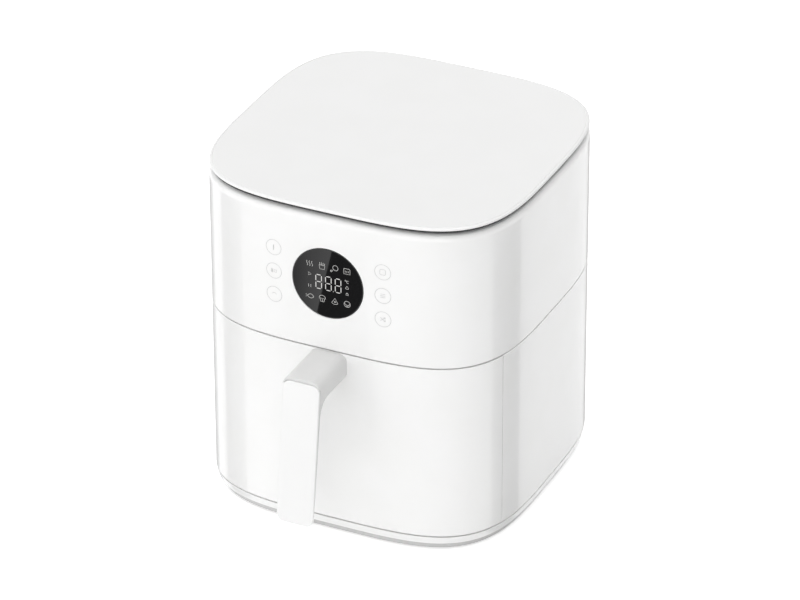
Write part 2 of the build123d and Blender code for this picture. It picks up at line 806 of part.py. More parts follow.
with BuildPart() as chamber_frame:
    with BuildSketch(level(lower_top_z)):
        add(ring_face(wall + fit_gap, liner_inner))
    extrude(amount=flange_thickness)
    with BuildSketch(level(flange_top_z)):
        add(ring_face(skirt_inset, liner_outer))
    extrude(amount=deck_z - flange_top_z)
    with BuildSketch(level(deck_z)):
        add(rounded_square(skirt_inset))
    extrude(amount=flange_thickness)
    with BuildSketch(level(shield_z)):
        with Locations(*spacer_places):
            Circle(spacer_radius)
    extrude(amount=shield_drop)
    with BuildSketch(level(deck_top_z)):
        with Locations(*motor_boss_places):
            Circle(motor_boss_radius)
    extrude(amount=motor_boss_height)
    with BuildSketch(level(deck_top_z)):
        with Locations((power_board_x, 0)):
            with GridLocations(board_x_pitch, board_y_pitch, 2, 2):
                Circle(power_standoff_radius)
    extrude(amount=power_standoff)
    with BuildSketch(level(deck_z)):
        Circle(deck_hole_radius)
        with Locations(*terminal_places):
            Circle(bush_radius)
        with Locations((sensor_x, sensor_y)):
            Circle(sensor_radius + fit_gap)
    extrude(amount=flange_thickness, mode=Mode.SUBTRACT)
    with BuildSketch(level(lower_top_z)):
        with Locations(*case_screw_places):
            Circle(screw_radius + fit_gap)
    extrude(amount=flange_thickness, mode=Mode.SUBTRACT)
    with BuildSketch(level(deck_top_z)):
        with Locations(*motor_boss_places):
            Circle(screw_radius + running_gap)
    extrude(amount=motor_boss_height, mode=Mode.SUBTRACT)
    with BuildSketch(level(shield_z)):
        with Locations(*spacer_places):
            Circle(screw_radius + running_gap)
    extrude(amount=shield_drop, mode=Mode.SUBTRACT)
    with BuildSketch(facing_front(back_y / 2)):
        with Locations((0, duct_z)):
            Rectangle(duct_width - 2 * duct_wall, duct_height - 2 * duct_wall)
    extrude(amount=-back_y, mode=Mode.SUBTRACT)
save(chamber_frame, "chamber_frame")

with BuildPart() as heat_shield:
    with BuildSketch(level(flange_top_z)):
        add(rounded_square(shield_inset))
    extrude(amount=shield_z - flange_top_z)
    with BuildSketch(level(flange_top_z)):
        add(rounded_square(shield_inset + shield_sheet))
    extrude(amount=shield_z - flange_top_z - shield_sheet, mode=Mode.SUBTRACT)
    with BuildSketch(level(shield_z - shield_sheet)):
        Circle(deck_hole_radius)
        with Locations(*terminal_places):
            Circle(bush_radius)
        with Locations((sensor_x, sensor_y)):
            Circle(sensor_radius + fit_gap)
        with Locations(*spacer_places):
            Circle(screw_radius + fit_gap)
    extrude(amount=shield_sheet, mode=Mode.SUBTRACT)
    with BuildSketch(facing_front(back_y / 2)):
        with Locations((0, duct_z)):
            Rectangle(duct_width - 2 * duct_wall, duct_height - 2 * duct_wall)
    extrude(amount=-back_y, mode=Mode.SUBTRACT)
save(heat_shield, "heat_shield")

with BuildPart() as shield_screws:
    with BuildSketch(level(shield_z - shield_sheet - screw_head_height)):
        with Locations(*spacer_places):
            Circle(screw_head_radius)
    extrude(amount=screw_head_height)
    with BuildSketch(level(shield_z - shield_sheet)):
        with Locations(*spacer_places):
            Circle(screw_radius)
    extrude(amount=shield_sheet + shield_drop - screw_recess)
save(shield_screws, "shield_screws")

coil_z = flange_top_z + coil_rise
coil_bend_radius = (coil_outer_radius - coil_inner_radius) / 2
coil_end = coil_start + coil_sweep
coil_bend_centre = on_circle(coil_outer_radius - coil_bend_radius, coil_end)
bush_low_z = shield_z - shield_sheet - bush_proud
bush_top_z = deck_top_z + bush_proud

with BuildPart() as heating_element:
    with BuildLine(level(coil_z)) as coil_path:
        CenterArc((0, 0), coil_outer_radius, coil_start, coil_sweep)
        CenterArc(coil_bend_centre, coil_bend_radius, coil_end, 180)
        CenterArc((0, 0), coil_inner_radius, coil_end, -coil_sweep)
    with BuildSketch(Plane(origin=coil_path.line @ 0, z_dir=coil_path.line % 0)):
        Circle(coil_tube_radius)
    sweep(path=coil_path.line)
    with Locations(*[(x, axis_y + y, coil_z) for x, y in terminal_places]):
        Sphere(coil_tube_radius)
    with BuildSketch(level(coil_z)):
        with Locations(*terminal_places):
            Circle(coil_tube_radius)
    extrude(amount=bush_top_z + bush_proud - coil_z)
save(heating_element, "heating_element")

with BuildPart() as heater_bushes:
    with BuildSketch(level(bush_low_z)):
        with Locations(*terminal_places):
            Circle(bush_radius - running_gap)
            Circle(coil_tube_radius + coil_hole_gap, mode=Mode.SUBTRACT)
    extrude(amount=bush_top_z - bush_low_z)
save(heater_bushes, "heater_bushes")

with BuildPart() as heater_clips:
    with BuildSketch(level(coil_z + coil_tube_radius + running_gap)):
        with Locations(*[on_circle(coil_outer_radius, angle) for angle in clip_angles]):
            Circle(clip_radius)
    extrude(amount=shield_z - shield_sheet - coil_z - coil_tube_radius - running_gap)
save(heater_clips, "heater_clips")

guard_z = flange_top_z + guard_lift
guard_reach_x = body_width / 2 - shield_inset - shield_sheet - fit_gap
guard_reach_y = body_depth / 2 - shield_inset - shield_sheet - fit_gap

with BuildPart() as heater_guard:
    with BuildSketch(level(guard_z)):
        for radius in guard_rings:
            Circle(radius + guard_wire / 2)
            Circle(radius - guard_wire / 2, mode=Mode.SUBTRACT)
        Rectangle(2 * guard_reach_x, guard_wire)
        Rectangle(guard_wire, 2 * guard_reach_y)
    extrude(amount=guard_wire)
save(heater_guard, "heater_guard")

grille_width = duct_width + 2 * grille_margin
grille_height = duct_height + 2 * grille_margin
grille_back_inset = wall + fit_gap + grille_backing

with BuildPart() as exhaust_duct:
    with BuildSketch(facing_front(back_y / 2)):
        with Locations((0, duct_z)):
            Rectangle(duct_width, duct_height)
            Rectangle(duct_width - 2 * duct_wall, duct_height - 2 * duct_wall, mode=Mode.SUBTRACT)
    extrude(amount=-back_y)
    with BuildSketch(level(flange_top_z)):
        add(ring_face(grille_back_inset + fit_gap, skirt_inset - fit_gap))
    extrude(amount=chamber_height, mode=Mode.INTERSECT)
save(exhaust_duct, "exhaust_duct")

with BuildPart() as temperature_sensor:
    with BuildSketch(level(deck_top_z - sensor_drop)):
        with Locations((sensor_x, sensor_y)):
            Circle(sensor_radius)
    extrude(amount=sensor_drop + sensor_flange)
    with BuildSketch(level(deck_top_z)):
        with Locations((sensor_x, sensor_y)):
            Circle(sensor_flange_radius)
    extrude(amount=sensor_flange)
    fillet(temperature_sensor.edges().group_by(Axis.Z)[0], radius=sensor_radius / 2)
save(temperature_sensor, "temperature_sensor")

with BuildPart() as thermal_fuse:
    with BuildSketch(level(deck_top_z)):
        with Locations((fuse_x, fuse_y)):
            SlotOverall(fuse_length, fuse_width)
    extrude(amount=fuse_height / 4)
    with BuildSketch(Plane((fuse_x, axis_y + fuse_y, deck_top_z + fuse_height / 2), z_dir=(1, 0, 0))):
        Circle(fuse_height / 2)
    extrude(amount=fuse_length / 4, both=True)
save(thermal_fuse, "thermal_fuse")

# ------------------------------------------------------------------ motor, shaft and fans
motor_z = deck_top_z + motor_boss_height
motor_top_z = motor_z + motor_height
shaft_top_z = upper_top_z - shaft_top_space
shaft_low_z = shaft_top_z - shaft_length
stator_low_z = motor_z + (motor_height - stator_height) / 2
bearing_fit = bearing_radius + running_gap

with BuildPart() as motor_can:
    with BuildSketch(level(motor_z)):
        Circle(motor_radius)
    extrude(amount=motor_height)
    with BuildSketch(level(motor_z + motor_ear_thickness)):
        Circle(motor_radius - motor_can_wall)
    extrude(amount=motor_height, mode=Mode.SUBTRACT)
    with BuildSketch(level(motor_z)):
        with Locations(*motor_boss_places):
            Circle(motor_ear_radius)
        Circle(motor_radius - motor_can_wall, mode=Mode.SUBTRACT)
    extrude(amount=motor_ear_thickness)
    with BuildSketch(level(motor_z)):
        Circle(bearing_fit)
        with Locations(*motor_boss_places):
            Circle(screw_radius + fit_gap)
    extrude(amount=motor_ear_thickness, mode=Mode.SUBTRACT)
save(motor_can, "motor_can")

with BuildPart() as motor_end_cap:
    with BuildSketch(level(motor_top_z)):
        Circle(motor_radius)
        Circle(bearing_fit, mode=Mode.SUBTRACT)
    extrude(amount=motor_ear_thickness)
    with BuildSketch(level(motor_top_z)):
        Circle(motor_radius - motor_can_wall - fit_gap)
        Circle(motor_radius - 2 * motor_can_wall - fit_gap, mode=Mode.SUBTRACT)
    extrude(amount=-motor_ear_thickness)
save(motor_end_cap, "motor_end_cap")

with BuildPart() as motor_stator:
    with BuildSketch(level(stator_low_z)):
        Circle(motor_radius - motor_can_wall - fit_gap)
        Circle(stator_bore, mode=Mode.SUBTRACT)
    extrude(amount=stator_height)
save(motor_stator, "motor_stator")

with BuildPart() as motor_rotor:
    with BuildSketch(level(stator_low_z)):
        Circle(stator_bore - rotor_gap)
        Circle(shaft_radius + running_gap, mode=Mode.SUBTRACT)
    extrude(amount=stator_height)
save(motor_rotor, "motor_rotor")

with BuildPart() as motor_shaft:
    with BuildSketch(level(shaft_low_z)):
        Circle(shaft_radius)
    extrude(amount=shaft_length)
    chamfer(motor_shaft.edges(), length=screw_radius / 4)
save(motor_shaft, "motor_shaft")

bearing_seats = (("lower", motor_z, 1), ("upper", motor_top_z + motor_ear_thickness, -1))
for seat, seat_z, inward in bearing_seats:
    with BuildPart() as bearing:
        with BuildSketch(level(seat_z - inward * bearing_flange)):
            Circle(bearing_flange_radius)
        extrude(amount=inward * bearing_flange)
        with BuildSketch(level(seat_z)):
            Circle(bearing_radius)
        extrude(amount=inward * bearing_length / 2)
        with BuildSketch(level(seat_z - inward * bearing_flange)):
            Circle(shaft_radius + running_gap)
        extrude(amount=inward * bearing_length, mode=Mode.SUBTRACT)
    save(bearing, f"motor_bearing_{seat}")

with BuildPart() as motor_screws:
    with BuildSketch(level(motor_z + motor_ear_thickness)):
        with Locations(*motor_boss_places):
            Circle(screw_head_radius)
    extrude(amount=screw_head_height)
    with BuildSketch(level(deck_top_z + screw_recess)):
        with Locations(*motor_boss_places):
            Circle(screw_radius)
    extrude(amount=motor_z + motor_ear_thickness - deck_top_z - screw_recess)
save(motor_screws, "motor_screws")


def fan(plate_z, radius, height, blades, side):
    """Radial fan: a hub, a plate at plate_z and straight blades on the side given by its sign."""
    with BuildPart() as wheel:
        with BuildSketch(level(plate_z)):
            Circle(radius)
        extrude(amount=side * fan_sheet)
        with BuildSketch(level(plate_z)):
            with PolarLocations(0, blades):
                with Locations((blade_start, 0)):
                    Rectangle(radius, fan_sheet, rotation=blade_angle, align=(Align.MIN, Align.CENTER))
            Circle(fan_hub_radius)
        extrude(amount=side * height)
        with BuildSketch(level(plate_z)):
            Circle(radius)
        extrude(amount=side * height, mode=Mode.INTERSECT)
        with BuildSketch(level(plate_z)):
            Circle(shaft_radius + running_gap)
        extrude(amount=side * height, mode=Mode.SUBTRACT)
    return wheel


hot_fan_z = shield_z - shield_sheet - hot_fan_drop
cooling_fan_z = motor_top_z + motor_ear_thickness + cooling_fan_rise
save(fan(hot_fan_z, hot_fan_radius, hot_fan_height, hot_fan_blades, -1), "hot_fan")
save(fan(cooling_fan_z, cooling_fan_radius, cooling_fan_height, cooling_fan_blades, 1), "cooling_fan")

with BuildPart() as fan_nut:
    with BuildSketch(level(hot_fan_z - hot_fan_height)):
        RegularPolygon(nut_radius, 6)
        Circle(shaft_radius + running_gap, mode=Mode.SUBTRACT)
    extrude(amount=-nut_height)
save(fan_nut, "fan_nut")

# ------------------------------------------------------------------ upper housing and lid
display_z = seam_z + display_height
board_y = front_y + board_setback
board_boss_x = board_width / 2 - board_boss_margin
board_boss_z = board_height / 2 - board_boss_margin
board_corners = ((-1, -1), (-1, 1), (1, -1), (1, 1))
board_boss_places = [(x * board_boss_x, display_z + z * board_boss_z) for x, z in board_corners]
lid_pad_places = [on_outline(lid_pad_inset, angle) for angle in lid_pad_angles]
lid_screw_places = [on_outline(lid_pad_inset, angle) for angle in lid_screw_angles]

with BuildPart() as upper_inside:
    with BuildSketch(level(seam_z)):
        add(rounded_square(wall))
    extrude(amount=upper_height - wall)
    fillet(upper_inside.edges().group_by(Axis.Z)[-1], radius=upper_edge_round - wall)

with BuildPart() as upper_housing:
    with BuildSketch(level(seam_z)):
        add(rounded_square(0))
    extrude(amount=upper_height)
    fillet(upper_housing.edges().group_by(Axis.Z)[-1], radius=upper_edge_round)
    fillet(upper_housing.edges().group_by(Axis.Z)[0], radius=edge_round)
    add(upper_inside, mode=Mode.SUBTRACT)
    with BuildSketch(level(upper_top_z - wall)):
        add(rounded_square(top_flange_inset))
    extrude(amount=wall, mode=Mode.SUBTRACT)
    with BuildSketch(level(flange_top_z)):
        add(ring_face(wall / 2, upper_ledge_inset))
    extrude(amount=wall)
    with BuildSketch(level(flange_top_z)):
        with Locations(*case_screw_places):
            Circle(case_boss_radius)
    extrude(amount=case_boss_height)
    with BuildSketch(level(flange_top_z)):
        with Locations(*case_screw_places):
            Circle(screw_radius + running_gap)
    extrude(amount=case_boss_height - wall, mode=Mode.SUBTRACT)
    with BuildSketch(level(upper_top_z - wall)):
        with Locations(*lid_screw_places):
            Circle(screw_radius + fit_gap)
    extrude(amount=wall, mode=Mode.SUBTRACT)
    with BuildSketch(facing_front(board_y)):
        with Locations(*board_boss_places):
            Circle(board_boss_radius)
    extrude(amount=board_setback - wall / 2 - (outline_depth(0, 0) - outline_depth(0, board_boss_x)))
    with BuildSketch(facing_front(board_y)):
        with Locations(*board_boss_places):
            Circle(screw_radius + running_gap)
    extrude(amount=board_setback - 2 * wall, mode=Mode.SUBTRACT)
    with BuildSketch(facing_front(front_y / 2)):
        with Locations((0, display_z)):
            Circle(display_radius)
    extrude(amount=body_depth, mode=Mode.SUBTRACT)
    with BuildSketch(facing_front(back_y / 2)):
        with Locations((0, duct_z)):
            Rectangle(grille_width, grille_height)
    extrude(amount=-back_y, mode=Mode.SUBTRACT)
save(upper_housing, "upper_housing")

with BuildPart() as case_screws:
    with BuildSketch(level(lower_top_z - wall - screw_head_height)):
        with Locations(*case_screw_places):
            Circle(screw_head_radius)
    extrude(amount=screw_head_height)
    with BuildSketch(level(lower_top_z - wall)):
        with Locations(*case_screw_places):
            Circle(screw_radius)
    extrude(amount=wall + flange_thickness + case_boss_height - wall - screw_recess)
save(case_screws, "case_screws")


def rear_block(outer_inset, inner_inset, width, height):
    """Curved block at the middle of the back, between two insets and around the exhaust's axis."""
    with BuildPart() as block:
        with BuildSketch(facing_front(back_y / 2)):
            with Locations((0, duct_z)):
                Rectangle(width, height)
        extrude(amount=-back_y)
        with BuildSketch(level(duct_z - height)):
            add(ring_face(outer_inset, inner_inset))
        extrude(amount=2 * height, mode=Mode.INTERSECT)
    return block.part


with BuildPart() as rear_grille:
    add(rear_block(0, grille_back_inset, grille_width - 2 * fit_gap, grille_height - 2 * fit_gap))
    add(rear_block(wall + fit_gap, grille_back_inset, grille_width + 2 * grille_backing_margin,
                   grille_height + 2 * grille_backing_margin))
    with BuildSketch(facing_front(back_y / 2)):
        with Locations((0, duct_z)):
            with GridLocations(0, grille_slot_pitch, 1, grille_slot_count):
                SlotOverall(grille_slot_length, grille_slot_height)
    extrude(amount=-back_y, mode=Mode.SUBTRACT)
save(rear_grille, "rear_grille")

with BuildPart() as lid_carrier:
    with BuildSketch(level(carrier_z)):
        add(rounded_square(carrier_inset))
    extrude(amount=carrier_thickness)
    with BuildSketch(level(upper_top_z)):
        with Locations(*lid_pad_places):
            Circle(lid_pad_radius)
    extrude(amount=inlet_gap)
    with BuildSketch(level(upper_top_z)):
        with Locations(*lid_screw_places):
            Circle(screw_radius + running_gap)
    extrude(amount=inlet_gap + carrier_thickness / 2, mode=Mode.SUBTRACT)
save(lid_carrier, "lid_carrier")

with BuildPart() as lid_screws:
    with BuildSketch(level(upper_top_z - wall - screw_head_height)):
        with Locations(*lid_screw_places):
            Circle(screw_head_radius)
    extrude(amount=screw_head_height)
    with BuildSketch(level(upper_top_z - wall)):
        with Locations(*lid_screw_places):
            Circle(screw_radius)
    extrude(amount=wall + inlet_gap + carrier_thickness / 4)
save(lid_screws, "lid_screws")

with BuildPart() as top_cover:
    with BuildSketch(level(lid_z)):
        add(rounded_square(lid_inset))
    extrude(amount=lid_thickness)
    fillet(top_cover.edges().group_by(Axis.Z)[-1], radius=lid_edge_round)
save(top_cover, "top_cover")

# ------------------------------------------------------------------ controls and electronics
with BuildPart() as display_lens:
    with BuildSketch(facing_front(front_y / 2)):
        with Locations((0, display_z)):
            Circle(display_radius - fit_gap)
    extrude(amount=body_depth)
    with BuildSketch(level(display_z - display_radius)):
        add(ring_face(0, wall))
    extrude(amount=2 * display_radius, mode=Mode.INTERSECT)
save(display_lens, "display_lens")

with BuildPart() as display_module:
    with BuildSketch(facing_front(board_y)):
        with Locations((0, display_z)):
            Circle(module_radius)
    extrude(amount=board_setback - wall - seat_gap)
save(display_module, "display_module")

with BuildPart() as display_board:
    with BuildSketch(facing_front(board_y)):
        with Locations((0, display_z)):
            RectangleRounded(board_width, board_height, board_boss_margin)
        with Locations(*board_boss_places):
            Circle(screw_radius + fit_gap, mode=Mode.SUBTRACT)
    extrude(amount=-board_thickness)
save(display_board, "display_board")

with BuildPart() as display_screws:
    with BuildSketch(facing_front(board_y + board_thickness)):
        with Locations(*board_boss_places):
            Circle(screw_head_radius)
    extrude(amount=-screw_head_height)
    with BuildSketch(facing_front(board_y + board_thickness)):
        with Locations(*board_boss_places):
            Circle(screw_radius)
    extrude(amount=board_thickness + board_setback - 2 * wall - screw_recess)
save(display_screws, "display_screws")

key_rows = (-key_pitch, 0, key_pitch)
key_places = [(x, display_z + z) for x in (-key_offset, key_offset) for z in key_rows]

with BuildPart() as touch_springs:
    with BuildSketch(facing_front(board_y)):
        with Locations(*key_places):
            Circle(spring_radius)
            Circle(spring_radius - spring_wall, mode=Mode.SUBTRACT)
    extrude(amount=outline_depth(wall, key_offset + spring_radius) + board_y - fit_gap)
save(touch_springs, "touch_springs")

with BuildPart() as power_board:
    with BuildSketch(level(deck_top_z + power_standoff)):
        with Locations((power_board_x, 0)):
            Rectangle(power_board_width, power_board_length)
    extrude(amount=board_thickness)
save(power_board, "power_board")

parts_z = deck_top_z + power_standoff + board_thickness
with BuildPart() as power_components:
    for across, along, width, length, height in (transformer, relay, heat_sink, terminals):
        with BuildSketch(level(parts_z)):
            with Locations((power_board_x + across, along)):
                Rectangle(width, length)
        extrude(amount=height)
    with BuildSketch(level(parts_z)):
        with Locations((power_board_x + capacitor[0], capacitor[1])):
            Circle(capacitor_radius)
    extrude(amount=capacitor_height)
save(power_components, "power_components")
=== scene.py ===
# %% [markdown]
# # A drawer air fryer, dressed
# The imported model holds every piece of the fryer at its real size. This file gives the pieces
# their finish, and models again in Blender the few that show fine work: the handle, the lid, the
# display with its printed marks, the touch keys, the screws and the feet. It loads the model first,
# because every place below is read from it.

# %% Load the model
import json
from math import copysign, cos, hypot, pi, radians, sin, tan

import bmesh
import bpy
from mathutils import Matrix, Vector


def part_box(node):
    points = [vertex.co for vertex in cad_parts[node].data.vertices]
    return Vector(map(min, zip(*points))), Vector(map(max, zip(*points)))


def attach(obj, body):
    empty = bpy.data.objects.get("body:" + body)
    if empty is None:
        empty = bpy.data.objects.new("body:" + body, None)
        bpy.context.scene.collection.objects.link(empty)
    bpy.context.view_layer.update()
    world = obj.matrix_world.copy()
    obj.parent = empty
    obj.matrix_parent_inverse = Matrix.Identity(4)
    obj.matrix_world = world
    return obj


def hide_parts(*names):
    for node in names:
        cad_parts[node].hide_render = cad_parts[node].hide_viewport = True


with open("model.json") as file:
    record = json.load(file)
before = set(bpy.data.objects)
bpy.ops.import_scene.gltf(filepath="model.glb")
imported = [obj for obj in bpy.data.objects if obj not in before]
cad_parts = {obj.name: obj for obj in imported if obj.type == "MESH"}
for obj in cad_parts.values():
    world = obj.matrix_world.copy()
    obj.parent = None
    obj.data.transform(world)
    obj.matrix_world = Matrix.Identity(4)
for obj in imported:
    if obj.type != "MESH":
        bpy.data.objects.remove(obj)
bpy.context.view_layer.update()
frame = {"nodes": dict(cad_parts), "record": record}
scene = bpy.context.scene
mm = 0.001

# %% [markdown]
# ## The camera
# The fryer is seen from far away through a long lens, so that upright lines stay almost
# parallel. The camera stands to the right of the front and looks down by thirty degrees.
# Building its matrix from three perpendicular directions keeps it level; the last turn is the
# small roll that a tripod head leaves.

# %% Camera
camera_azimuth = radians(25.37)  # to the right of the front
camera_elevation = radians(30.0)
camera_distance = 4.170
camera_lens = 222.0
camera_roll = radians(-0.2)
aim = Vector((-0.0007, 0.03246, 0.1526))

backwards = Vector((sin(camera_azimuth) * cos(camera_elevation),
                    -cos(camera_azimuth) * cos(camera_elevation),
                    sin(camera_elevation)))
rightwards = Vector((0, 0, 1)).cross(backwards).normalized()
upwards = backwards.cross(rightwards)
camera = bpy.data.objects.new("camera", bpy.data.cameras.new("camera"))
scene.collection.objects.link(camera)
camera_place = aim + camera_distance * backwards
turn = Matrix((rightwards, upwards, backwards)).transposed().to_4x4()
roll = Matrix.Rotation(camera_roll, 4, "Z")
camera.matrix_world = Matrix.Translation(camera_place) @ turn @ roll
camera.data.lens = camera_lens
scene.camera = camera
scene.view_settings.view_transform = "Standard"

print("camera at", [round(v, 3) for v in camera_place], "lens", camera_lens)

# %% [markdown]
# ## Places that several pieces share
# The housing is a rounded square, which is not a square with round corners: its sides bulge a
# little all the way along. The superellipse formula draws it, and one exponent says how square
# it is. An inset moves the outline in by the same amount on every side. A ring of vertices on
# it starts as a plain circle, because a circle already has its points in order.

# %% The housing's outline
corner_power = 3.7
housing_low, housing_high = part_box("upper_housing")
half_width = (housing_high.x - housing_low.x) / 2
axis_y = (housing_high.y + housing_low.y) / 2


def outline_depth(x):
    """Y of the housing's front skin at x."""
    share = 1 - (abs(x) / half_width) ** corner_power
    return axis_y - half_width * share ** (1 / corner_power)


def outline_reach(across, along, inset=0.0):
    """How many times the direction (across, along) goes from the axis to the moved-in skin."""
    span = abs(across) ** corner_power + abs(along) ** corner_power
    return (half_width - inset) * span ** (-1 / corner_power)


def outline_ring(bm, inset, z, segments=192):
    """Ring of vertices on the housing's outline: a circle whose points are pushed out to it."""
    ring = bmesh.ops.create_circle(bm, segments=segments, radius=1.0)["verts"]
    for vert in ring:
        reach = outline_reach(vert.co.x, vert.co.y, inset)
        vert.co = (reach * vert.co.x, axis_y + reach * vert.co.y, z)
    return ring


print("housing half width", round(half_width / mm, 2), "axis at y", round(axis_y / mm, 2))

# %% [markdown]
# ## Materials
# Every finish starts as a Principled shader with the colour, the roughness and the metalness
# of the real surface. Real surfaces are never even, so each finish also gets a fine bump and a
# slow change of roughness. An image could carry these, but every piece would have to be
# unwrapped for it. Noise in the object's own coordinates needs no unwrapping, and because they
# are in metres, a scale of 1000 means a grain of about a millimetre.

# %% A helper that wires one finish
def finish(name, color, roughness, metallic=0.0, grain=1500.0, height=0.02, drift=0.04,
           stretch=(1, 1, 1), specular=0.5, gloss=0.0):
    """Material with its own grain: grain is its fineness, height the depth of its bump in mm."""
    material = bpy.data.materials.new(name)
    material.use_nodes = True
    nodes = material.node_tree.nodes
    link = material.node_tree.links.new
    shader = nodes["Principled BSDF"]
    shader.inputs["Base Color"].default_value = (*color, 1)
    shader.inputs["Metallic"].default_value = metallic
    shader.inputs["Specular IOR Level"].default_value = specular
    shader.inputs["Coat Weight"].default_value = gloss
    shader.inputs["Coat Roughness"].default_value = 0.06
    place = nodes.new("ShaderNodeTexCoord")
    mapping = nodes.new("ShaderNodeMapping")
    mapping.inputs["Scale"].default_value = stretch
    link(place.outputs["Object"], mapping.inputs["Vector"])
    fine = nodes.new("ShaderNodeTexNoise")
    fine.name = "grain"
    fine.inputs["Scale"].default_value = grain
    fine.inputs["Detail"].default_value = 3.0
    link(mapping.outputs["Vector"], fine.inputs["Vector"])
    bump = nodes.new("ShaderNodeBump")
    bump.inputs["Distance"].default_value = height * mm
    bump.inputs["Strength"].default_value = 0.6
    link(fine.outputs["Fac"], bump.inputs["Height"])
    link(bump.outputs["Normal"], shader.inputs["Normal"])
    slow = nodes.new("ShaderNodeTexNoise")
    slow.name = "drift"
    slow.inputs["Scale"].default_value = 22.0
    slow.inputs["Detail"].default_value = 4.0
    link(place.outputs["Object"], slow.inputs["Vector"])
    spread = nodes.new("ShaderNodeMapRange")
    spread.inputs["To Min"].default_value = roughness - drift
    spread.inputs["To Max"].default_value = roughness + drift
    link(slow.outputs["Fac"], spread.inputs["Value"])
    link(spread.outputs["Result"], shader.inputs["Roughness"])
    return material


def tint(material, color, pattern, low, high, output="Fac"):
    """Mixes a second colour into a finish where a pattern's value rises from low to high."""
    nodes = material.node_tree.nodes
    link = material.node_tree.links.new
    shader = nodes["Principled BSDF"]
    mix = nodes.new("ShaderNodeMix")
    mix.data_type = "RGBA"
    mix.inputs["A"].default_value = shader.inputs["Base Color"].default_value
    mix.inputs["B"].default_value = (*color, 1)
    step = nodes.new("ShaderNodeMapRange")
    step.interpolation_type = "SMOOTHSTEP"
    step.inputs["From Min"].default_value = low
    step.inputs["From Max"].default_value = high
    link(nodes[pattern].outputs[output], step.inputs["Value"])
    link(step.outputs["Result"], mix.inputs["Factor"])
    link(mix.outputs["Result"], shader.inputs["Base Color"])


# %% [markdown]
# ## Plastics and rubber
# The shells are white polypropylene with a satin skin, so their grain is very fine and very low. A
# clear coat of half strength lets them mirror things at their edges, as polished moulds do. The lid
# and the leaf on the handle come from duller moulds and have no coat. Their white is a little
# darker than the shells' white, and that darker white is painted shade on the lid's top and on the
# leaf's front. The handle is light grey, and so is the tray under the base, which is given a darker
# grey that paints the shade under the base. The mouldings near the heater are a rough black grade,
# and the feet are rubber, which scatters light almost evenly.
# A second, slightly warmer colour in slow patches keeps the white from looking computed.

# %% Plastic finishes
white_plastic = finish("white_satin_plastic", (0.92, 0.92, 0.917), 0.33,
                       height=0.012, drift=0.03, gloss=0.5)
tint(white_plastic, (0.905, 0.905, 0.897), "drift", 0.3, 0.7)
# The leaf's white is the shells' white made darker: painted shade on the handle's front.
leaf_painted_shade = finish("handle_leaf_painted_shade", (0.885, 0.885, 0.882), 0.38,
                       height=0.014, drift=0.03)
# The lid's white is darker than the shells' white: painted shade on the lid's top.
lid_plastic = finish("lid_satin_painted_shade", (0.89, 0.89, 0.887), 0.36, height=0.014, drift=0.03)
tint(lid_plastic, (0.88, 0.88, 0.875), "drift", 0.3, 0.7)
grey_plastic = finish("light_grey_plastic", (0.72, 0.72, 0.715), 0.42, grain=1300, gloss=0.3)
tint(grey_plastic, (0.69, 0.69, 0.685), "drift", 0.3, 0.7)
# The tray's darker grey is painted shade under the base; its slot is the handle's light grey.
tray_painted_shade = finish("base_tray_painted_shade", (0.60, 0.60, 0.595), 0.45, grain=1300)
# The near black of the carrier plate under the lid, with little shine, paints the shade in the gap
# below the lid.
dark_plastic = finish("carrier_black_gap_shade", (0.025, 0.025, 0.027), 0.6,
                      grain=1100, height=0.03, specular=0.3)
heat_plastic = finish("heat_proof_plastic", (0.06, 0.06, 0.06), 0.55,
                      grain=900, height=0.04, drift=0.08)
component_plastic = finish("component_cases", (0.03, 0.03, 0.033), 0.45, grain=1600, height=0.03)
nylon = finish("natural_nylon", (0.74, 0.71, 0.63), 0.45, grain=1200)
foot_rubber = finish("foot_rubber", (0.05, 0.05, 0.05), 0.85, grain=1800, height=0.06, specular=0.3)
silicone = finish("soft_silicone", (0.10, 0.10, 0.10), 0.6, height=0.03, specular=0.4)

# %% [markdown]
# ## Metals
# Rolled sheet has faint lines along its rolling direction, so its noise is stretched. Hot
# parts carry a heat tint: the heater's tube goes brown in the patches that have been hottest.
# Turned and ground steel is smoother than pressed sheet, and a sintered bearing shows the
# pores that hold its oil as dark specks.

# %% Metal and ceramic finishes
sheet_steel = finish("aluminised_sheet", (0.60, 0.60, 0.61), 0.34, 1.0,
                     grain=240, drift=0.07, stretch=(0.12, 1, 1))
tint(sheet_steel, (0.50, 0.50, 0.51), "grain", 0.35, 0.75)
heater_steel = finish("heat_tinted_tube", (0.26, 0.235, 0.215), 0.38, 1.0,
                      grain=700, height=0.03, drift=0.1)
tint(heater_steel, (0.20, 0.13, 0.09), "drift", 0.4, 0.65)
zinc_screw = finish("zinc_plating", (0.66, 0.66, 0.67), 0.3, 1.0, grain=2200)
fan_aluminium = finish("pressed_aluminium", (0.74, 0.74, 0.75), 0.36, 1.0, grain=900, drift=0.06)
shaft_steel = finish("ground_steel", (0.62, 0.62, 0.63), 0.2, 1.0,
                     grain=600, height=0.01, stretch=(1, 1, 8))
spring_steel = finish("spring_wire", (0.58, 0.58, 0.59), 0.28, 1.0, grain=2000, height=0.01)
bearing_bronze = finish("sintered_bronze", (0.52, 0.34, 0.16), 0.45, 1.0, grain=2600, height=0.05)
tint(bearing_bronze, (0.24, 0.16, 0.09), "grain", 0.6, 0.7)
motor_core = finish("laminated_steel", (0.34, 0.32, 0.30), 0.42, 1.0,
                    grain=1600, height=0.05, stretch=(0.05, 0.05, 1))
tint(motor_core, (0.20, 0.18, 0.17), "grain", 0.45, 0.55)
ceramic = finish("unglazed_ceramic", (0.80, 0.77, 0.70), 0.7, grain=1400, height=0.05, drift=0.06)

# %% [markdown]
# ## Non-stick coat and circuit boards
# These two need patterns that the plain finish lacks. The pan's coat is nearly black with fine
# pale flecks: small cells get a random value each, and only the cells with a high value are
# pale. The copper tracks of the boards are the thin joints of a brick pattern, which show
# through the green mask.

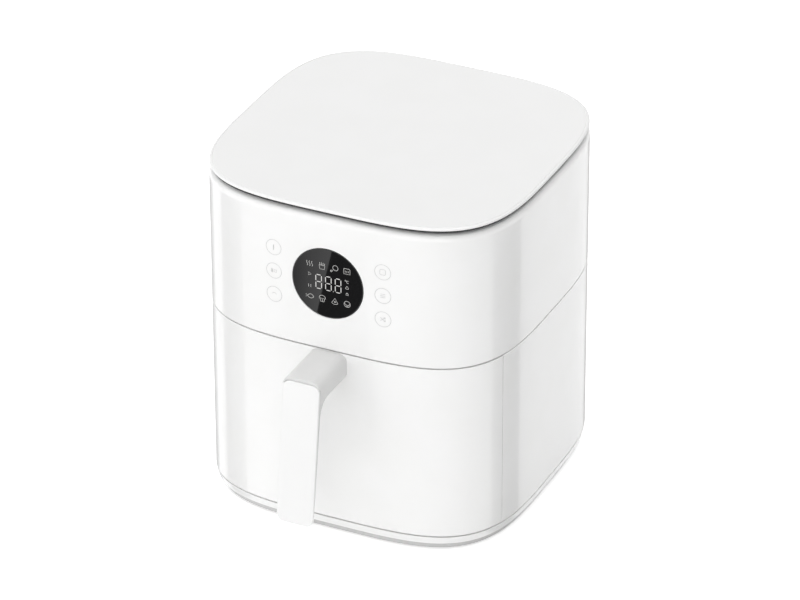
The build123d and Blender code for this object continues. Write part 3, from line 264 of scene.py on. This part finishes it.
# %% Flecks and tracks
nonstick = finish("nonstick_coat", (0.028, 0.028, 0.03), 0.40, grain=1300, height=0.05, drift=0.06)
coat_nodes = nonstick.node_tree.nodes
coat_link = nonstick.node_tree.links.new
cells = coat_nodes.new("ShaderNodeTexVoronoi")
cells.inputs["Scale"].default_value = 700.0
coat_link(coat_nodes["Texture Coordinate"].outputs["Object"], cells.inputs["Vector"])
cell_value = coat_nodes.new("ShaderNodeSeparateColor")
cell_value.name = "flecks"
coat_link(cells.outputs["Color"], cell_value.inputs["Color"])
tint(nonstick, (0.10, 0.10, 0.105), "flecks", 0.86, 0.93, output="Red")

circuit_board = finish("solder_mask", (0.015, 0.11, 0.045), 0.35, grain=900)
board_nodes = circuit_board.node_tree.nodes
board_link = circuit_board.node_tree.links.new
tracks = board_nodes.new("ShaderNodeTexBrick")
tracks.name = "tracks"
tracks.inputs["Scale"].default_value = 110.0
tracks.inputs["Mortar Size"].default_value = 0.03
board_link(board_nodes["Texture Coordinate"].outputs["Object"], tracks.inputs["Vector"])
tint(circuit_board, (0.05, 0.20, 0.09), "tracks", 0.4, 0.6)

# %% [markdown]
# ## The display's own finishes
# The window is tinted acrylic: almost black, polished, and so smooth that it mirrors the room
# with sharp edges. The figures behind it glow. The touch keys are only printed rings on the
# white shell, in a pale grey that one has to look for.

# %% Window, glowing figures and key print
display_glass = finish("tinted_window", (0.004, 0.004, 0.0045), 0.02,
                       grain=300, height=0.0, drift=0.005)
key_print = finish("pale_key_print", (0.62, 0.62, 0.62), 0.5, height=0.01)


def glowing(name, strength, unevenness=0.15):
    """Lit figures: an emission over a dark base, slightly uneven like a row of small lamps."""
    material = finish(name, (0.02, 0.02, 0.02), 0.4, height=0.0)
    nodes = material.node_tree.nodes
    link = material.node_tree.links.new
    shader = nodes["Principled BSDF"]
    shader.inputs["Emission Color"].default_value = (1.0, 0.99, 0.97, 1)
    lamps = nodes.new("ShaderNodeMapRange")
    lamps.inputs["To Min"].default_value = strength * (1 - unevenness)
    lamps.inputs["To Max"].default_value = strength * (1 + unevenness)
    link(nodes["drift"].outputs["Fac"], lamps.inputs["Value"])
    link(lamps.outputs["Result"], shader.inputs["Emission Strength"])
    return material


digit_glow = glowing("digit_glow", 0.75)
symbol_glow = glowing("symbol_glow", 0.62)

# %% [markdown]
# ## A finish for every imported node
# The record names a material slot for every node, and the same slot always gets the same finish.
# The tray under the base is the one exception: it shares the light grey slot with the handle, but
# is given a darker grey, which paints the shade under the base.

# %% Finish of every imported node
finishes = {
    "white_plastic": white_plastic, "lid_plastic": lid_plastic, "grey_plastic": grey_plastic,
    "dark_plastic": dark_plastic, "heat_plastic": heat_plastic, "foot_rubber": foot_rubber,
    "silicone": silicone, "display_glass": display_glass, "sheet_steel": sheet_steel,
    "nonstick": nonstick, "heater_steel": heater_steel, "zinc_screw": zinc_screw,
    "fan_aluminium": fan_aluminium, "motor_core": motor_core, "bearing_bronze": bearing_bronze,
    "shaft_steel": shaft_steel, "ceramic": ceramic, "circuit_board": circuit_board,
    "components": component_plastic, "nylon": nylon, "spring_steel": spring_steel,
}
slot_of = {row["node"]: row["material_slot"] for row in frame["record"]["subparts"]}
for node, piece in frame["nodes"].items():
    # The tray gets the darker grey that paints the shade under the base.
    node_finish = tray_painted_shade if node == "base_tray" else finishes[slot_of[node]]
    piece.data.materials.clear()
    piece.data.materials.append(node_finish)
print("finishes", len(finishes), "on", len(slot_of), "nodes")

# %% [markdown]
# ## From a bmesh to a finished piece
# Each new piece is shaped as a bmesh and then passed to one function, which merges doubles, turns
# the faces outward, marks the sharp edges, says which body carries the piece and which finish it
# has, and hides the imported nodes it stands for. The object itself stays at the origin.
# A second helper rounds the corners of a drawn path; most sections and outlines start there.

# %% Functions that finish a piece and round a path
def make_piece(bm, name, body, slot, stands_for=(), material=None, sharp=32):
    """Turns the bmesh into a piece of the fryer."""
    bmesh.ops.remove_doubles(bm, verts=bm.verts, dist=0.001 * mm)
    bmesh.ops.recalc_face_normals(bm, faces=bm.faces)
    mesh = bpy.data.meshes.new(name)
    bm.to_mesh(mesh)
    bm.free()
    mesh.shade_smooth()
    mesh.set_sharp_from_angle(angle=radians(sharp))
    mesh.materials.append(material or finishes[slot])
    piece = bpy.data.objects.new(name, mesh)
    scene.collection.objects.link(piece)
    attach(piece, body)
    if stands_for:
        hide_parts(*stands_for)
    print(name, len(mesh.polygons), "faces on", body)


def round_corners(corners, steps=6):
    """Points of a path whose corners (a, b, radius) are replaced by arcs."""
    points = []
    for index, (a, b, radius) in enumerate(corners):
        here = Vector((a, b))
        if radius == 0:
            points.append(here)
            continue
        to_last = (Vector(corners[index - 1][:2]) - here).normalized()
        to_next = (Vector(corners[(index + 1) % len(corners)][:2]) - here).normalized()
        half_turn = to_last.angle(to_next) / 2
        centre = here + (to_last + to_next).normalized() * radius / sin(half_turn)
        start = here + to_last * radius / tan(half_turn) - centre
        end = here + to_next * radius / tan(half_turn) - centre
        for step in range(steps + 1):
            points.append(centre + start.lerp(end, step / steps).normalized() * radius)
    return points


# %% [markdown]
# ## The lid panel
# The lid is a flat plate with the housing's outline, a soft rim, and a hair line just inside
# the rim where its smooth top sheet ends. Its section is a short path of insets and heights,
# and one ring of vertices is laid at each point of the path. The rings are then joined face by
# face. The bridging operator joins nearest points and can pair two rings crosswise when they
# lie at one height, as they do here. Cutting the line with a boolean would leave thin slivers
# of faces beside it. A face across each of the two middle rings closes the plate.

# %% Lid panel
def outline_plate(bm, section, segments=192):
    """Plate bounded by the outline, from a section of (inset, height) points, underside first."""
    rings = [outline_ring(bm, inset, z, segments) for inset, z in section]
    for lower, upper in zip(rings, rings[1:]):
        for last in range(-1, segments - 1):
            bm.faces.new((lower[last], lower[last + 1], upper[last + 1], upper[last]))
    bm.faces.new(rings[0])
    bm.faces.new(rings[-1])


lid_low, lid_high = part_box("top_cover")
lid_inset = half_width - (lid_high.x - lid_low.x) / 2
lid_middle = 60 * mm
rim_round_low = 0.8 * mm
rim_round_high = 1.5 * mm
hair_line = lid_inset + 2.0 * mm
hair_line_width = 0.8 * mm
hair_line_slope = 0.2 * mm
hair_line_floor = lid_high.z - 0.4 * mm
lid_section = round_corners([
    (lid_middle, lid_low.z, 0),
    (lid_inset, lid_low.z, rim_round_low),
    (lid_inset, lid_high.z, rim_round_high),
    (hair_line, lid_high.z, 0),
    (hair_line + hair_line_slope, hair_line_floor, 0),
    (hair_line + hair_line_width - hair_line_slope, hair_line_floor, 0),
    (hair_line + hair_line_width, lid_high.z, 0),
    (lid_middle, lid_high.z, 0),
])
bm = bmesh.new()
outline_plate(bm, lid_section)
# The lid panel gets the lid's darker white, which paints shade on its top.
make_piece(bm, "lid_panel", "housing", "lid_plastic", ["top_cover"])

# %% [markdown]
# ## The handle's cover
# The handle is one grey moulding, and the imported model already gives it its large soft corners.
# The white cover is a thin leaf that clips to the grip's front. It keeps the drawer's look from
# ahead and leaves a narrow shadow line all round. A beveled box would give the same outline,
# but would have to be sheared to follow the grip. Here the rounded outline is drawn first, in
# the grip's own leaning plane, and then pulled back: once for the front leaf, and once, a
# little smaller, for the leaf behind the groove.

# %% Handle cover
handle_reach = 50.4 * mm  # from the drawer's front to the head of the grip
grip_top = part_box("handle_body")[1].z
cover_low, cover_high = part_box("handle_cover")
grip_head_y = outline_depth(0) - handle_reach
lean = (grip_head_y - cover_low.y) / (grip_top - cover_low.z)


def grip_front(z):
    """Y of the handle's leaning front at height z."""
    return grip_head_y - (grip_top - z) * lean


def leaning_leaf(bm, half, low, high, radius, near, far, soften):
    """Rounded leaf that leans with the grip, between two distances behind its front."""
    corners = [(-half, low, radius), (half, low, radius),
               (half, high, radius), (-half, high, radius)]
    rim = [bm.verts.new((point.x, grip_front(point.y) + near, point.y))
           for point in round_corners(corners, 8)]
    leaf = bm.faces.new(rim)
    pulled = bmesh.ops.extrude_face_region(bm, geom=[leaf])
    back = [item for item in pulled["geom"] if isinstance(item, bmesh.types.BMVert)]
    bmesh.ops.translate(bm, vec=(0, far - near, 0), verts=back)
    if soften:
        bmesh.ops.bevel(bm, geom=list(leaf.edges), offset=soften, segments=3,
                        profile=0.5, affect="EDGES", material=-1)


cover_depth = 2.6 * mm
cover_corner = 6.8 * mm
cover_edge = 0.7 * mm
groove_width = 0.7 * mm
groove_depth = 1.6 * mm
front_leaf_depth = cover_depth - groove_width
bm = bmesh.new()
leaning_leaf(bm, cover_high.x, cover_low.z, cover_high.z, cover_corner,
             0, front_leaf_depth, cover_edge)
leaning_leaf(bm, cover_high.x - groove_depth, cover_low.z + groove_depth,
             cover_high.z - groove_depth, cover_corner - groove_depth,
             front_leaf_depth, cover_depth, 0)
# The leaf gets the darker white that paints shade on the handle's front.
make_piece(bm, "handle_leaf", "drawer", "white_plastic", ["handle_cover"], leaf_painted_shade)

# %% [markdown]
# ## Feet
# Nobody sees the underside in the shop, but it is where hands go to lift the fryer. Each rubber
# foot is turned: half of its section is drawn once and spun round, with two ring grooves that
# grip the worktop. A stack of cylinders would do as well, but a section keeps every radius and
# height of the foot in one short list.

# %% Turned feet
def turn_section(bm, place, section, steps=48):
    """Spins a section of (radius, height) points round an upright axis at place."""
    centre = Vector((place.x, place.y, 0))
    points = [bm.verts.new(centre + Vector((radius, 0, height))) for radius, height in section]
    edges = [bm.edges.new(pair) for pair in zip(points, points[1:])]
    bmesh.ops.spin(bm, geom=points + edges, cent=centre, axis=(0, 0, 1), angle=2 * pi,
                   steps=steps, use_merge=True)


ring_depth = 0.5 * mm
ring_width = 1.2 * mm
ring_slope = 0.2 * mm
foot_round = 0.8 * mm
round_in, round_up = 0.3 * mm, 0.2 * mm  # point halfway round the foot's lower edge
for corner in ("rear_right", "rear_left", "front_left", "front_right"):
    foot_low, foot_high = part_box(f"foot_{corner}")
    foot_radius = (foot_high.x - foot_low.x) / 2
    foot_section = [(0, 0)]
    for share in (0.35, 0.65):
        start = foot_radius * share
        foot_section += [(start, 0), (start + ring_slope, ring_depth),
                         (start + ring_width - ring_slope, ring_depth), (start + ring_width, 0)]
    foot_section += [(foot_radius - foot_round, 0), (foot_radius - round_in, round_up),
                     (foot_radius, foot_round), (foot_radius, foot_high.z), (0, foot_high.z)]
    bm = bmesh.new()
    turn_section(bm, (foot_low + foot_high).xy / 2, foot_section)
    make_piece(bm, f"ribbed_foot_{corner}", "housing", "foot_rubber", [f"foot_{corner}"])

# %% [markdown]
# ## Base screws
# The screws under the base have a pan head with a cross recess. Circles bridged one to the next
# make the head and the shank. The recess could be cut with a boolean. It starts instead as a
# cross-shaped loop in the middle of the head, which is bridged to the head's round edge and
# pulled in, because that keeps the mesh closed and its faces few.

# %% Recessed screws
def circle_edges(bm, place, radius, height):
    """Level circle round an upright axis at place, as its edges."""
    circle = bmesh.ops.create_circle(bm, segments=24, radius=radius,
                                     matrix=Matrix.Translation((place.x, place.y, height)))
    return list({edge for vert in circle["verts"] for edge in vert.link_edges})


def cross_screw(bm, place, low, high, head_height, head_radius, shank_radius):
    """Upright screw with its head at the bottom and a cross recess in it."""
    neck = low + head_height
    profile = [(0.7 * head_radius, low), (0.93 * head_radius, low + 0.25 * head_height),
               (head_radius, low + 0.6 * head_height), (head_radius, neck),
               (shank_radius, neck), (shank_radius, high - shank_radius),
               (0.4 * shank_radius, high)]
    rings = [circle_edges(bm, place, radius, height) for radius, height in profile]
    for lower, upper in zip(rings, rings[1:]):
        bmesh.ops.bridge_loops(bm, edges=lower + upper)
    bmesh.ops.edgeloop_fill(bm, edges=rings[-1])
    arm, width = 0.52 * head_radius, 0.15 * head_radius
    cross = [(width, width), (width, arm), (-width, arm), (-width, width),
             (-arm, width), (-arm, -width), (-width, -width), (-width, -arm),
             (width, -arm), (width, -width), (arm, -width), (arm, width)]
    corners = [bm.verts.new((place.x + x, place.y + y, low)) for x, y in cross]
    rim = [bm.edges.new((corners[k - 1], corners[k])) for k in range(len(corners))]
    bmesh.ops.bridge_loops(bm, edges=rings[0] + rim)
    pulled = bmesh.ops.extrude_edge_only(bm, edges=rim)["geom"]
    floor_verts = [item for item in pulled if isinstance(item, bmesh.types.BMVert)]
    floor_edges = [item for item in pulled if isinstance(item, bmesh.types.BMEdge)
                   and all(vert in floor_verts for vert in item.verts)]
    bmesh.ops.translate(bm, vec=(0, 0, 0.6 * head_height), verts=floor_verts)
    bmesh.ops.edgeloop_fill(bm, edges=floor_edges)


base_screw_inset = 10.65 * mm
base_screw_angles = (-25, 205, 50, 130)  # from +X, counter-clockwise
screw_low, screw_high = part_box("base_screws")
bm = bmesh.new()
for angle in base_screw_angles:
    across, along = cos(radians(angle)), sin(radians(angle))
    reach = outline_reach(across, along, base_screw_inset)
    cross_screw(bm, Vector((reach * across, axis_y + reach * along)), screw_low.z, screw_high.z,
                head_height=1.8 * mm, head_radius=3.0 * mm, shank_radius=1.5 * mm)
make_piece(bm, "base_cross_screws", "housing", "zinc_screw", ["base_screws"])

# %% [markdown]
# ## The display window
# The window is a disc let into the shell, flush with it, and its skin follows the shell's
# slight bulge; a flat disc would stand proud of the shell at its sides. It still starts as a
# flat disc, whose rim is beveled. Insets then give its face rings of points, and every point is
# moved onto the bulging skin. The bevel matters: it catches a thin line of the room around the
# edge.

# %% Display window
lens_low, lens_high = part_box("display_lens")
lens_radius = (lens_high.x - lens_low.x) / 2
lens_z = (lens_high.z + lens_low.z) / 2
lens_thickness = 2.4 * mm
lens_edge = 0.7 * mm
lens_insets = (0.2, 0.4, 5, 6, 6, 6)  # from the beveled edge towards the middle


def wrap_on_front(bm, lift=0.0):
    """Moves a flat shape, drawn at y = 0, onto the housing's front skin or a little proud of it."""
    for vert in bm.verts:
        vert.co.y += outline_depth(vert.co.x) - lift


bm = bmesh.new()
bmesh.ops.create_circle(bm, cap_ends=True, segments=128, radius=lens_radius,
                        matrix=Matrix.Translation((0, 0, lens_z)) @ Matrix.Rotation(pi / 2, 4, "X"))
bm.faces.ensure_lookup_table()
pulled = bmesh.ops.extrude_face_region(bm, geom=[bm.faces[0]])
back = [item for item in pulled["geom"] if isinstance(item, bmesh.types.BMVert)]
bmesh.ops.translate(bm, vec=(0, lens_thickness, 0), verts=back)
rim = [edge for edge in bm.edges if all(abs(vert.co.y) < 0.01 * mm for vert in edge.verts)]
bmesh.ops.bevel(bm, geom=rim, offset=lens_edge, segments=3, profile=0.5, affect="EDGES",
                material=-1)
bmesh.ops.recalc_face_normals(bm, faces=bm.faces)
front_faces = [face for face in bm.faces if face.normal.y < -0.99]
for step in lens_insets:
    bmesh.ops.inset_region(bm, faces=front_faces, thickness=step * mm, use_even_offset=True)
wrap_on_front(bm)
make_piece(bm, "display_window", "housing", "display_glass", ["display_lens"], sharp=20)

# %% [markdown]
# ## Figures and symbols
# All printed and lit marks are thin strokes. They could be an image laid over the window, but
# strokes stay sharp from near. A mark is a list of lines in millimetres about its own centre, drawn
# as a curve with a small round section. The curve is turned into a mesh, pressed flat and moved
# onto the front skin. Small functions draw the pieces that come back: arcs, circles and closed
# outlines.

# %% Strokes
def arc(across, up, radius, start, end, steps=10):
    """Points of an arc in degrees."""
    angles = [radians(start + (end - start) * step / steps) for step in range(steps + 1)]
    return [(across + radius * cos(angle), up + radius * sin(angle)) for angle in angles]


def ring(across, up, radius, steps=20):
    """Closed circle."""
    return arc(across, up, radius, 0, 360, steps)


def closed(*points):
    """Closed outline through the points."""
    return [*points, points[0]]


print_lift = 0.02 * mm
stroke_flatness = 0.1


def print_marks(name, marks, width, material, slot):
    """One piece from marks: pairs of a centre (x, z) in metres and lines in millimetres."""
    curve = bpy.data.curves.new(name, "CURVE")
    curve.dimensions = "3D"
    curve.bevel_depth = width / 2
    curve.bevel_resolution = 0
    curve.use_fill_caps = True
    for (x, z), lines in marks:
        for line in lines:
            gap = hypot(line[0][0] - line[-1][0], line[0][1] - line[-1][1])
            cyclic = len(line) > 2 and gap < 1e-4
            points = line[:-1] if cyclic else line
            spline = curve.splines.new("POLY")
            spline.points.add(len(points) - 1)
            for point, (across, up) in zip(spline.points, points):
                point.co = (x + across * mm, 0, z + up * mm, 1)
            spline.use_cyclic_u = cyclic
    drawn = bpy.data.objects.new(name, curve)
    mesh = bpy.data.meshes.new_from_object(drawn)
    bpy.data.objects.remove(drawn)
    bpy.data.curves.remove(curve)
    bm = bmesh.new()
    bm.from_mesh(mesh)
    bpy.data.meshes.remove(mesh)
    bmesh.ops.scale(bm, vec=(1, stroke_flatness, 1), verts=bm.verts)
    wrap_on_front(bm, print_lift)
    make_piece(bm, name, "housing", slot, material=material, sharp=180)


# %% [markdown]
# ## Seven-segment figures
# The figures show three eights with a point, which is what such a display shows when all its
# segments are lit. One segment is a short thick line; a list of the seven places it takes makes
# a digit. Gaps between the segments keep them apart, as the walls of the light box do.

# %% Digits
figures_x = 0.6 * mm  # the light box sits a little right of the window's middle
digit_pitch = 8.8
digit_stroke = 0.7 * mm
w, h, g = 2.55, 6.4, 0.8  # half width, half height, gap
digit = [[(-w + g, h), (w - g, h)], [(-w + g, 0), (w - g, 0)], [(-w + g, -h), (w - g, -h)],
         [(-w, h - g), (-w, g)], [(w, h - g), (w, g)],
         [(-w, -g), (-w, -h + g)], [(w, -g), (w, -h + g)]]
point = [[(digit_pitch / 2 - 0.2, -h), (digit_pitch / 2 + 0.2, -h)]]
digit_marks = [((figures_x + column * digit_pitch * mm, lens_z), digit) for column in (-1, 0, 1)]
digit_marks.append(((figures_x, lens_z), point))
print_marks("display_digits", digit_marks, digit_stroke, digit_glow, "display_glass")

# %% [markdown]
# ## Programme symbols
# Around the figures stand small line drawings of what the fryer cooks, and the marks for start,
# pause, temperature, fan and lock. They are drawn here from simple shapes, about six
# millimetres across. The dishes stand in rows of four above and below the figures.

# %% Symbols
steam = [[(x + 0.5 * sin(radians(72 * k)), -2.4 + 0.95 * k) for k in range(6)]
         for x in (-2.2, 0, 2.2)]
fries = [closed((-2.6, 0.6), (-2.0, -3.0), (2.0, -3.0), (2.6, 0.6)),
         [(-1.8, 0.6), (-2.1, 3.0)], [(-0.5, 0.6), (-0.6, 3.3)],
         [(0.9, 0.6), (1.0, 3.1)], [(2.0, 0.6), (2.5, 2.6)]]
drumstick = [arc(0.9, 0.8, 2.4, -100, 190, 12) + [(-1.5, 0.2), (0.5, -1.6)],
             [(-0.9, -0.9), (-2.4, -2.3)], ring(-2.9, -2.6, 0.75, 10)]
toast = [closed((-2.8, -2.4), (-2.8, 1.2), *arc(-1.6, 1.5, 1.25, 180, 60, 5),
                *arc(1.6, 1.5, 1.25, 120, 0, 5), (2.8, 1.2), (2.8, -2.4)),
         [(-1.4, -1.0), (-1.4, 0.6)], [(0, -1.0), (0, 0.8)], [(1.4, -1.0), (1.4, 0.6)]]
fish = [arc(0.7, -1.0, 2.9, 20, 160, 8) + arc(0.7, 1.0, 2.9, 200, 340, 8),
        closed((-2.0, 0), (-3.5, 1.4), (-3.5, -1.4)), [(2.0, 0.3), (2.2, 0.3)]]
cake = [arc(0, 0.2, 2.9, 0, 180, 12) + [(2.9, 0.2)],
        [(-2.1, 0.0), (-1.4, -2.8), (1.4, -2.8), (2.1, 0.0)], [(0, -0.2), (0, -2.6)]]
pizza = [[(-2.8, -1.6), (0.2, 3.0), (2.9, -1.9)], arc(0.0, 1.6, 4.3, -125, -54, 8),
         ring(0.1, -0.4, 0.6, 8)]
bowl = [ring(0, 0, 2.8, 20), arc(0, 1.5, 2.5, 205, 335, 8), [(-0.9, -1.9), (0.9, -1.9)]]
play = [closed((-1.2, 1.5), (1.4, 0), (-1.2, -1.5))]
pause = [[(-1.2, 1.4), (-1.2, -1.4)], [(0.9, 1.4), (0.9, -1.4)]]
degree = [ring(-1.3, 0.9, 0.5, 8), arc(0.7, -0.1, 1.1, 50, 310, 8)]
fan_mark = [arc(0.75 * cos(radians(a)), 0.75 * sin(radians(a)), 0.7, a - 110, a + 110, 6)
            for a in (90, 210, 330)]
lock = [closed((-1.0, -1.2), (1.0, -1.2), (1.0, 0.2), (-1.0, 0.2)), arc(0, 0.2, 0.7, 180, 0, 6)]

column_pitch = 11.25
row_rise = 15.3
side_column = 1.5 * column_pitch
symbol_stroke = 0.36 * mm
symbols = [((k - 1.5) * column_pitch, row_rise, mark)
           for k, mark in enumerate((steam, fries, drumstick, toast))]
symbols += [((k - 1.5) * column_pitch, -row_rise, mark)
            for k, mark in enumerate((fish, cake, pizza, bowl))]
symbols += [(-side_column, 5.5, play), (-side_column, -5.5, pause),
            (side_column, 5.7, degree), (side_column, 0, fan_mark), (side_column, -5.6, lock)]
symbol_marks = [((figures_x + x * mm, lens_z + z * mm), lines) for x, z, lines in symbols]
print_marks("display_symbols", symbol_marks, symbol_stroke, symbol_glow, "display_glass")

# %% [markdown]
# ## Touch keys
# Three keys stand on each side of the display: a thin printed ring with a small sign in it.
# They have no edges of their own, because the sensors lie behind the unbroken shell. The
# springs behind the shell say where the keys are.

# %% Touch keys
spring_radius = 4.5 * mm
spring_low, spring_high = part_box("touch_springs")
key_offset = spring_high.x - spring_radius
key_pitch = (spring_high.z - spring_low.z) / 2 - spring_radius
key_stroke = 0.42 * mm
key_ring = ring(0, 0, 7.0, 48)
bar = [[(-0.2, 2.4), (-0.2, -2.4)], [(0.2, 2.4), (0.2, -2.4)]]
blocks = [closed((-2.6, -1.7), (-2.6, 1.7), (-0.9, 1.7), (-0.9, -1.7)),
          [(-2.1, 1.2), (-1.4, -1.2)], [(-1.4, 1.2), (-2.1, -1.2)],
          closed((0.3, 1.0), (2.4, 1.0), (2.4, -1.2), (0.3, -1.2))]
dish = [arc(0, -0.6, 2.0, 20, 160, 8)]
stop = [closed(*arc(1.3, 1.3, 1.2, 0, 90, 4), *arc(-1.3, 1.3, 1.2, 90, 180, 4),
               *arc(-1.3, -1.3, 1.2, 180, 270, 4), *arc(1.3, -1.3, 1.2, 270, 360, 4))]
menu = [[(-2.2, 1.5), (2.2, 1.5)], [(-2.2, 0), (2.2, 0)], [(-2.2, -1.5), (2.2, -1.5)]]
shuffle = [[(-2.2, -1.5), (1.8, 1.7)], [(-2.2, 1.5), (1.8, -1.7)],
           [(0.6, 1.8), (2.0, 1.8), (2.0, 0.5)], [(0.6, -1.8), (2.0, -1.8), (2.0, -0.5)]]
key_signs = {-1: (bar, blocks, dish), 1: (stop, menu, shuffle)}  # from the top key down
key_marks = [((side * key_offset, lens_z + row * key_pitch), [key_ring] + sign)
             for side, signs in key_signs.items() for row, sign in zip((1, 0, -1), signs)]
print_marks("touch_key_rings", key_marks, key_stroke, key_print, "white_plastic")

# %% [markdown]
# ## Light and floor
# Three wide soft lamps and an even white surround give the pale shell its gentle gradients. One
# lamp stands low ahead of the fryer, one low ahead and to the left, and one hangs straight
# above. They are suns with a wide angle: area lamps would be as soft, but suns light every
# height of the fryer alike. The floor and the surround look pure white to the camera and to
# polished surfaces, but send out only a plain level of light, so that the white pieces keep
# their shading.

# %% Surround
surround_level = 0.42
world = bpy.data.worlds.new("white_surround")
scene.world = world
world.use_nodes = True
world_nodes = world.node_tree.nodes
world_link = world.node_tree.links.new
surround = world_nodes["Background"]
surround.inputs["Color"].default_value = (1, 1, 1, 1)


def seen_directly(nodes, link):
    """Value of 1 for rays that show the background as it is: camera, mirror and clear rays."""
    path = nodes.new("ShaderNodeLightPath")
    total = path.outputs["Is Camera Ray"]
    for name in ("Is Glossy Ray", "Is Transmission Ray"):
        add = nodes.new("ShaderNodeMath")
        add.operation = "MAXIMUM"
        link(total, add.inputs[0])
        link(path.outputs[name], add.inputs[1])
        total = add.outputs["Value"]
    return total


level = world_nodes.new("ShaderNodeMapRange")
level.inputs["To Min"].default_value = surround_level
level.inputs["To Max"].default_value = 1.0
world_link(seen_directly(world_nodes, world_link), level.inputs["Value"])
world_link(level.outputs["Result"], surround.inputs["Strength"])

# %% Lamps
lamp_spread = radians(50)


def soft_lamp(name, turn, height, energy):
    """Wide, soft light from a direction: degrees from the front towards +X, and degrees up."""
    direction = Vector((sin(radians(turn)) * cos(radians(height)),
                        -cos(radians(turn)) * cos(radians(height)),
                        sin(radians(height))))
    light = bpy.data.lights.new(name, "SUN")
    light.energy = energy
    light.angle = lamp_spread
    lamp = bpy.data.objects.new(name, light)
    lamp.matrix_world = direction.to_track_quat("Z", "Y").to_matrix().to_4x4()
    scene.collection.objects.link(lamp)


soft_lamp("front_lamp", 10, 20, 0.74)
soft_lamp("left_lamp", -45, 20, 0.57)
soft_lamp("top_lamp", 0, 89, 1.28)

# %% Floor
floor_level = 0.55
floor_half = 15  # metres
floor_material = bpy.data.materials.new("white_floor")
floor_material.use_nodes = True
floor_nodes = floor_material.node_tree.nodes
floor_link = floor_material.node_tree.links.new
floor_shader = floor_nodes["Principled BSDF"]
floor_shader.inputs["Base Color"].default_value = (0.9, 0.9, 0.9, 1)
floor_shader.inputs["Roughness"].default_value = 0.9
floor_shader.inputs["Emission Color"].default_value = (1, 1, 1, 1)
floor_glow = floor_nodes.new("ShaderNodeMapRange")
floor_glow.inputs["To Max"].default_value = floor_level
floor_link(seen_directly(floor_nodes, floor_link), floor_glow.inputs["Value"])
floor_link(floor_glow.outputs["Result"], floor_shader.inputs["Emission Strength"])
bm = bmesh.new()
bmesh.ops.create_grid(bm, x_segments=1, y_segments=1, size=floor_half)
floor_mesh = bpy.data.meshes.new("floor")
bm.to_mesh(floor_mesh)
bm.free()
floor_mesh.materials.append(floor_material)
floor = bpy.data.objects.new("floor", floor_mesh)
scene.collection.objects.link(floor)

# %% [markdown]
# ## What the polished parts mirror
# A polished surface shows whatever lies in front of it, so a studio lays cards there on
# purpose. The window gets a dark card, which keeps its figures readable, and a bright strip
# that lights one side. The upright corners and the housing's two outer edges get dark cards
# too, which draw soft darker lines down them. All the cards lie on the floor, where a line of
# sight from the camera lands after the surface has mirrored it. Only mirrors see them.

# %% A card for a mirroring surface
card_lift = 2 * mm


def mirrored_on_floor(spot, facing):
    """Point of the floor that the camera sees mirrored at a spot that faces that way."""
    sight = spot - camera_place
    sight -= 2 * sight.dot(facing) * facing
    return spot + sight * (spot.z / -sight.z)


def card(name, corners, levels):
    """Flat card on the floor, as bright as its levels say, from four mirroring spots."""
    bm = bmesh.new()
    bright = bm.verts.layers.float.new("brightness")
    for (spot, facing), value in zip(corners, levels):
        vert = bm.verts.new(mirrored_on_floor(spot, facing) + Vector((0, 0, card_lift)))
        vert[bright] = value
    bm.faces.new(bm.verts)
    bmesh.ops.subdivide_edges(bm, edges=bm.edges, cuts=12, use_grid_fill=True)
    mesh = bpy.data.meshes.new(name)
    bm.to_mesh(mesh)
    bm.free()
    material = bpy.data.materials.new(name)
    material.use_nodes = True
    nodes = material.node_tree.nodes
    link = material.node_tree.links.new
    nodes.remove(nodes["Principled BSDF"])
    glow = nodes.new("ShaderNodeEmission")
    value = nodes.new("ShaderNodeAttribute")
    value.attribute_name = "brightness"
    link(value.outputs["Fac"], glow.inputs["Strength"])
    link(glow.outputs["Emission"], nodes["Material Output"].inputs["Surface"])
    mesh.materials.append(material)
    panel = bpy.data.objects.new(name, mesh)
    scene.collection.objects.link(panel)
    panel.visible_camera = False
    panel.visible_diffuse = False
    panel.visible_shadow = False


def on_window(x, z):
    """Spot of the window's bulging skin and the way it faces."""
    slope = copysign((abs(x) / half_width) ** (corner_power - 1), x)
    return Vector((x, outline_depth(x), z)), Vector((slope, -1, 0)).normalized()


def on_wall(turn, z):
    """Spot of the housing's skin that faces so many degrees from the front towards +X."""
    facing = Vector((sin(radians(turn)), -cos(radians(turn)), 0))
    across = copysign(abs(facing.x) ** (1 / (corner_power - 1)), facing.x)
    along = copysign(abs(facing.y) ** (1 / (corner_power - 1)), facing.y)
    reach = outline_reach(across, along)
    return Vector((reach * across, axis_y + reach * along, z)), facing


# %% [markdown]
# The edge between the window's two cards leans, because the strip narrows towards its foot. The
# cards of the walls run up the whole housing, and each covers a range of directions that the
# wall's skin faces. A level is a card's brightness, where white has a level of one.

# %% Cards on the floor
card_half = lens_radius + 4 * mm
card_top, card_foot = lens_z + card_half, lens_z - card_half
strip_top, strip_foot = 5.6 * mm, -11.2 * mm
card("window_card", [on_window(strip_foot, card_foot), on_window(card_half, card_foot),
                     on_window(card_half, card_top), on_window(strip_top, card_top)],
     [0.16, 0.16, 0.16, 0.16])
card("window_strip", [on_window(-card_half, card_foot), on_window(strip_foot, card_foot),
                      on_window(strip_top, card_top), on_window(-card_half, card_top)],
     [0.36, 1.4, 1.4, 0.36])
wall_low, wall_high = 2 * mm, 340 * mm
for place, first, last, shade in (("left_edge", -64.5, -46, 0.4), ("left_corner", -31, -14, 0),
                                  ("right_corner", 64, 83, 0.15), ("right_edge", 103, 115, 0.4)):
    card(place + "_card", [on_wall(first, wall_low), on_wall(last, wall_low),
                           on_wall(last, wall_high), on_wall(first, wall_high)], [shade] * 4)
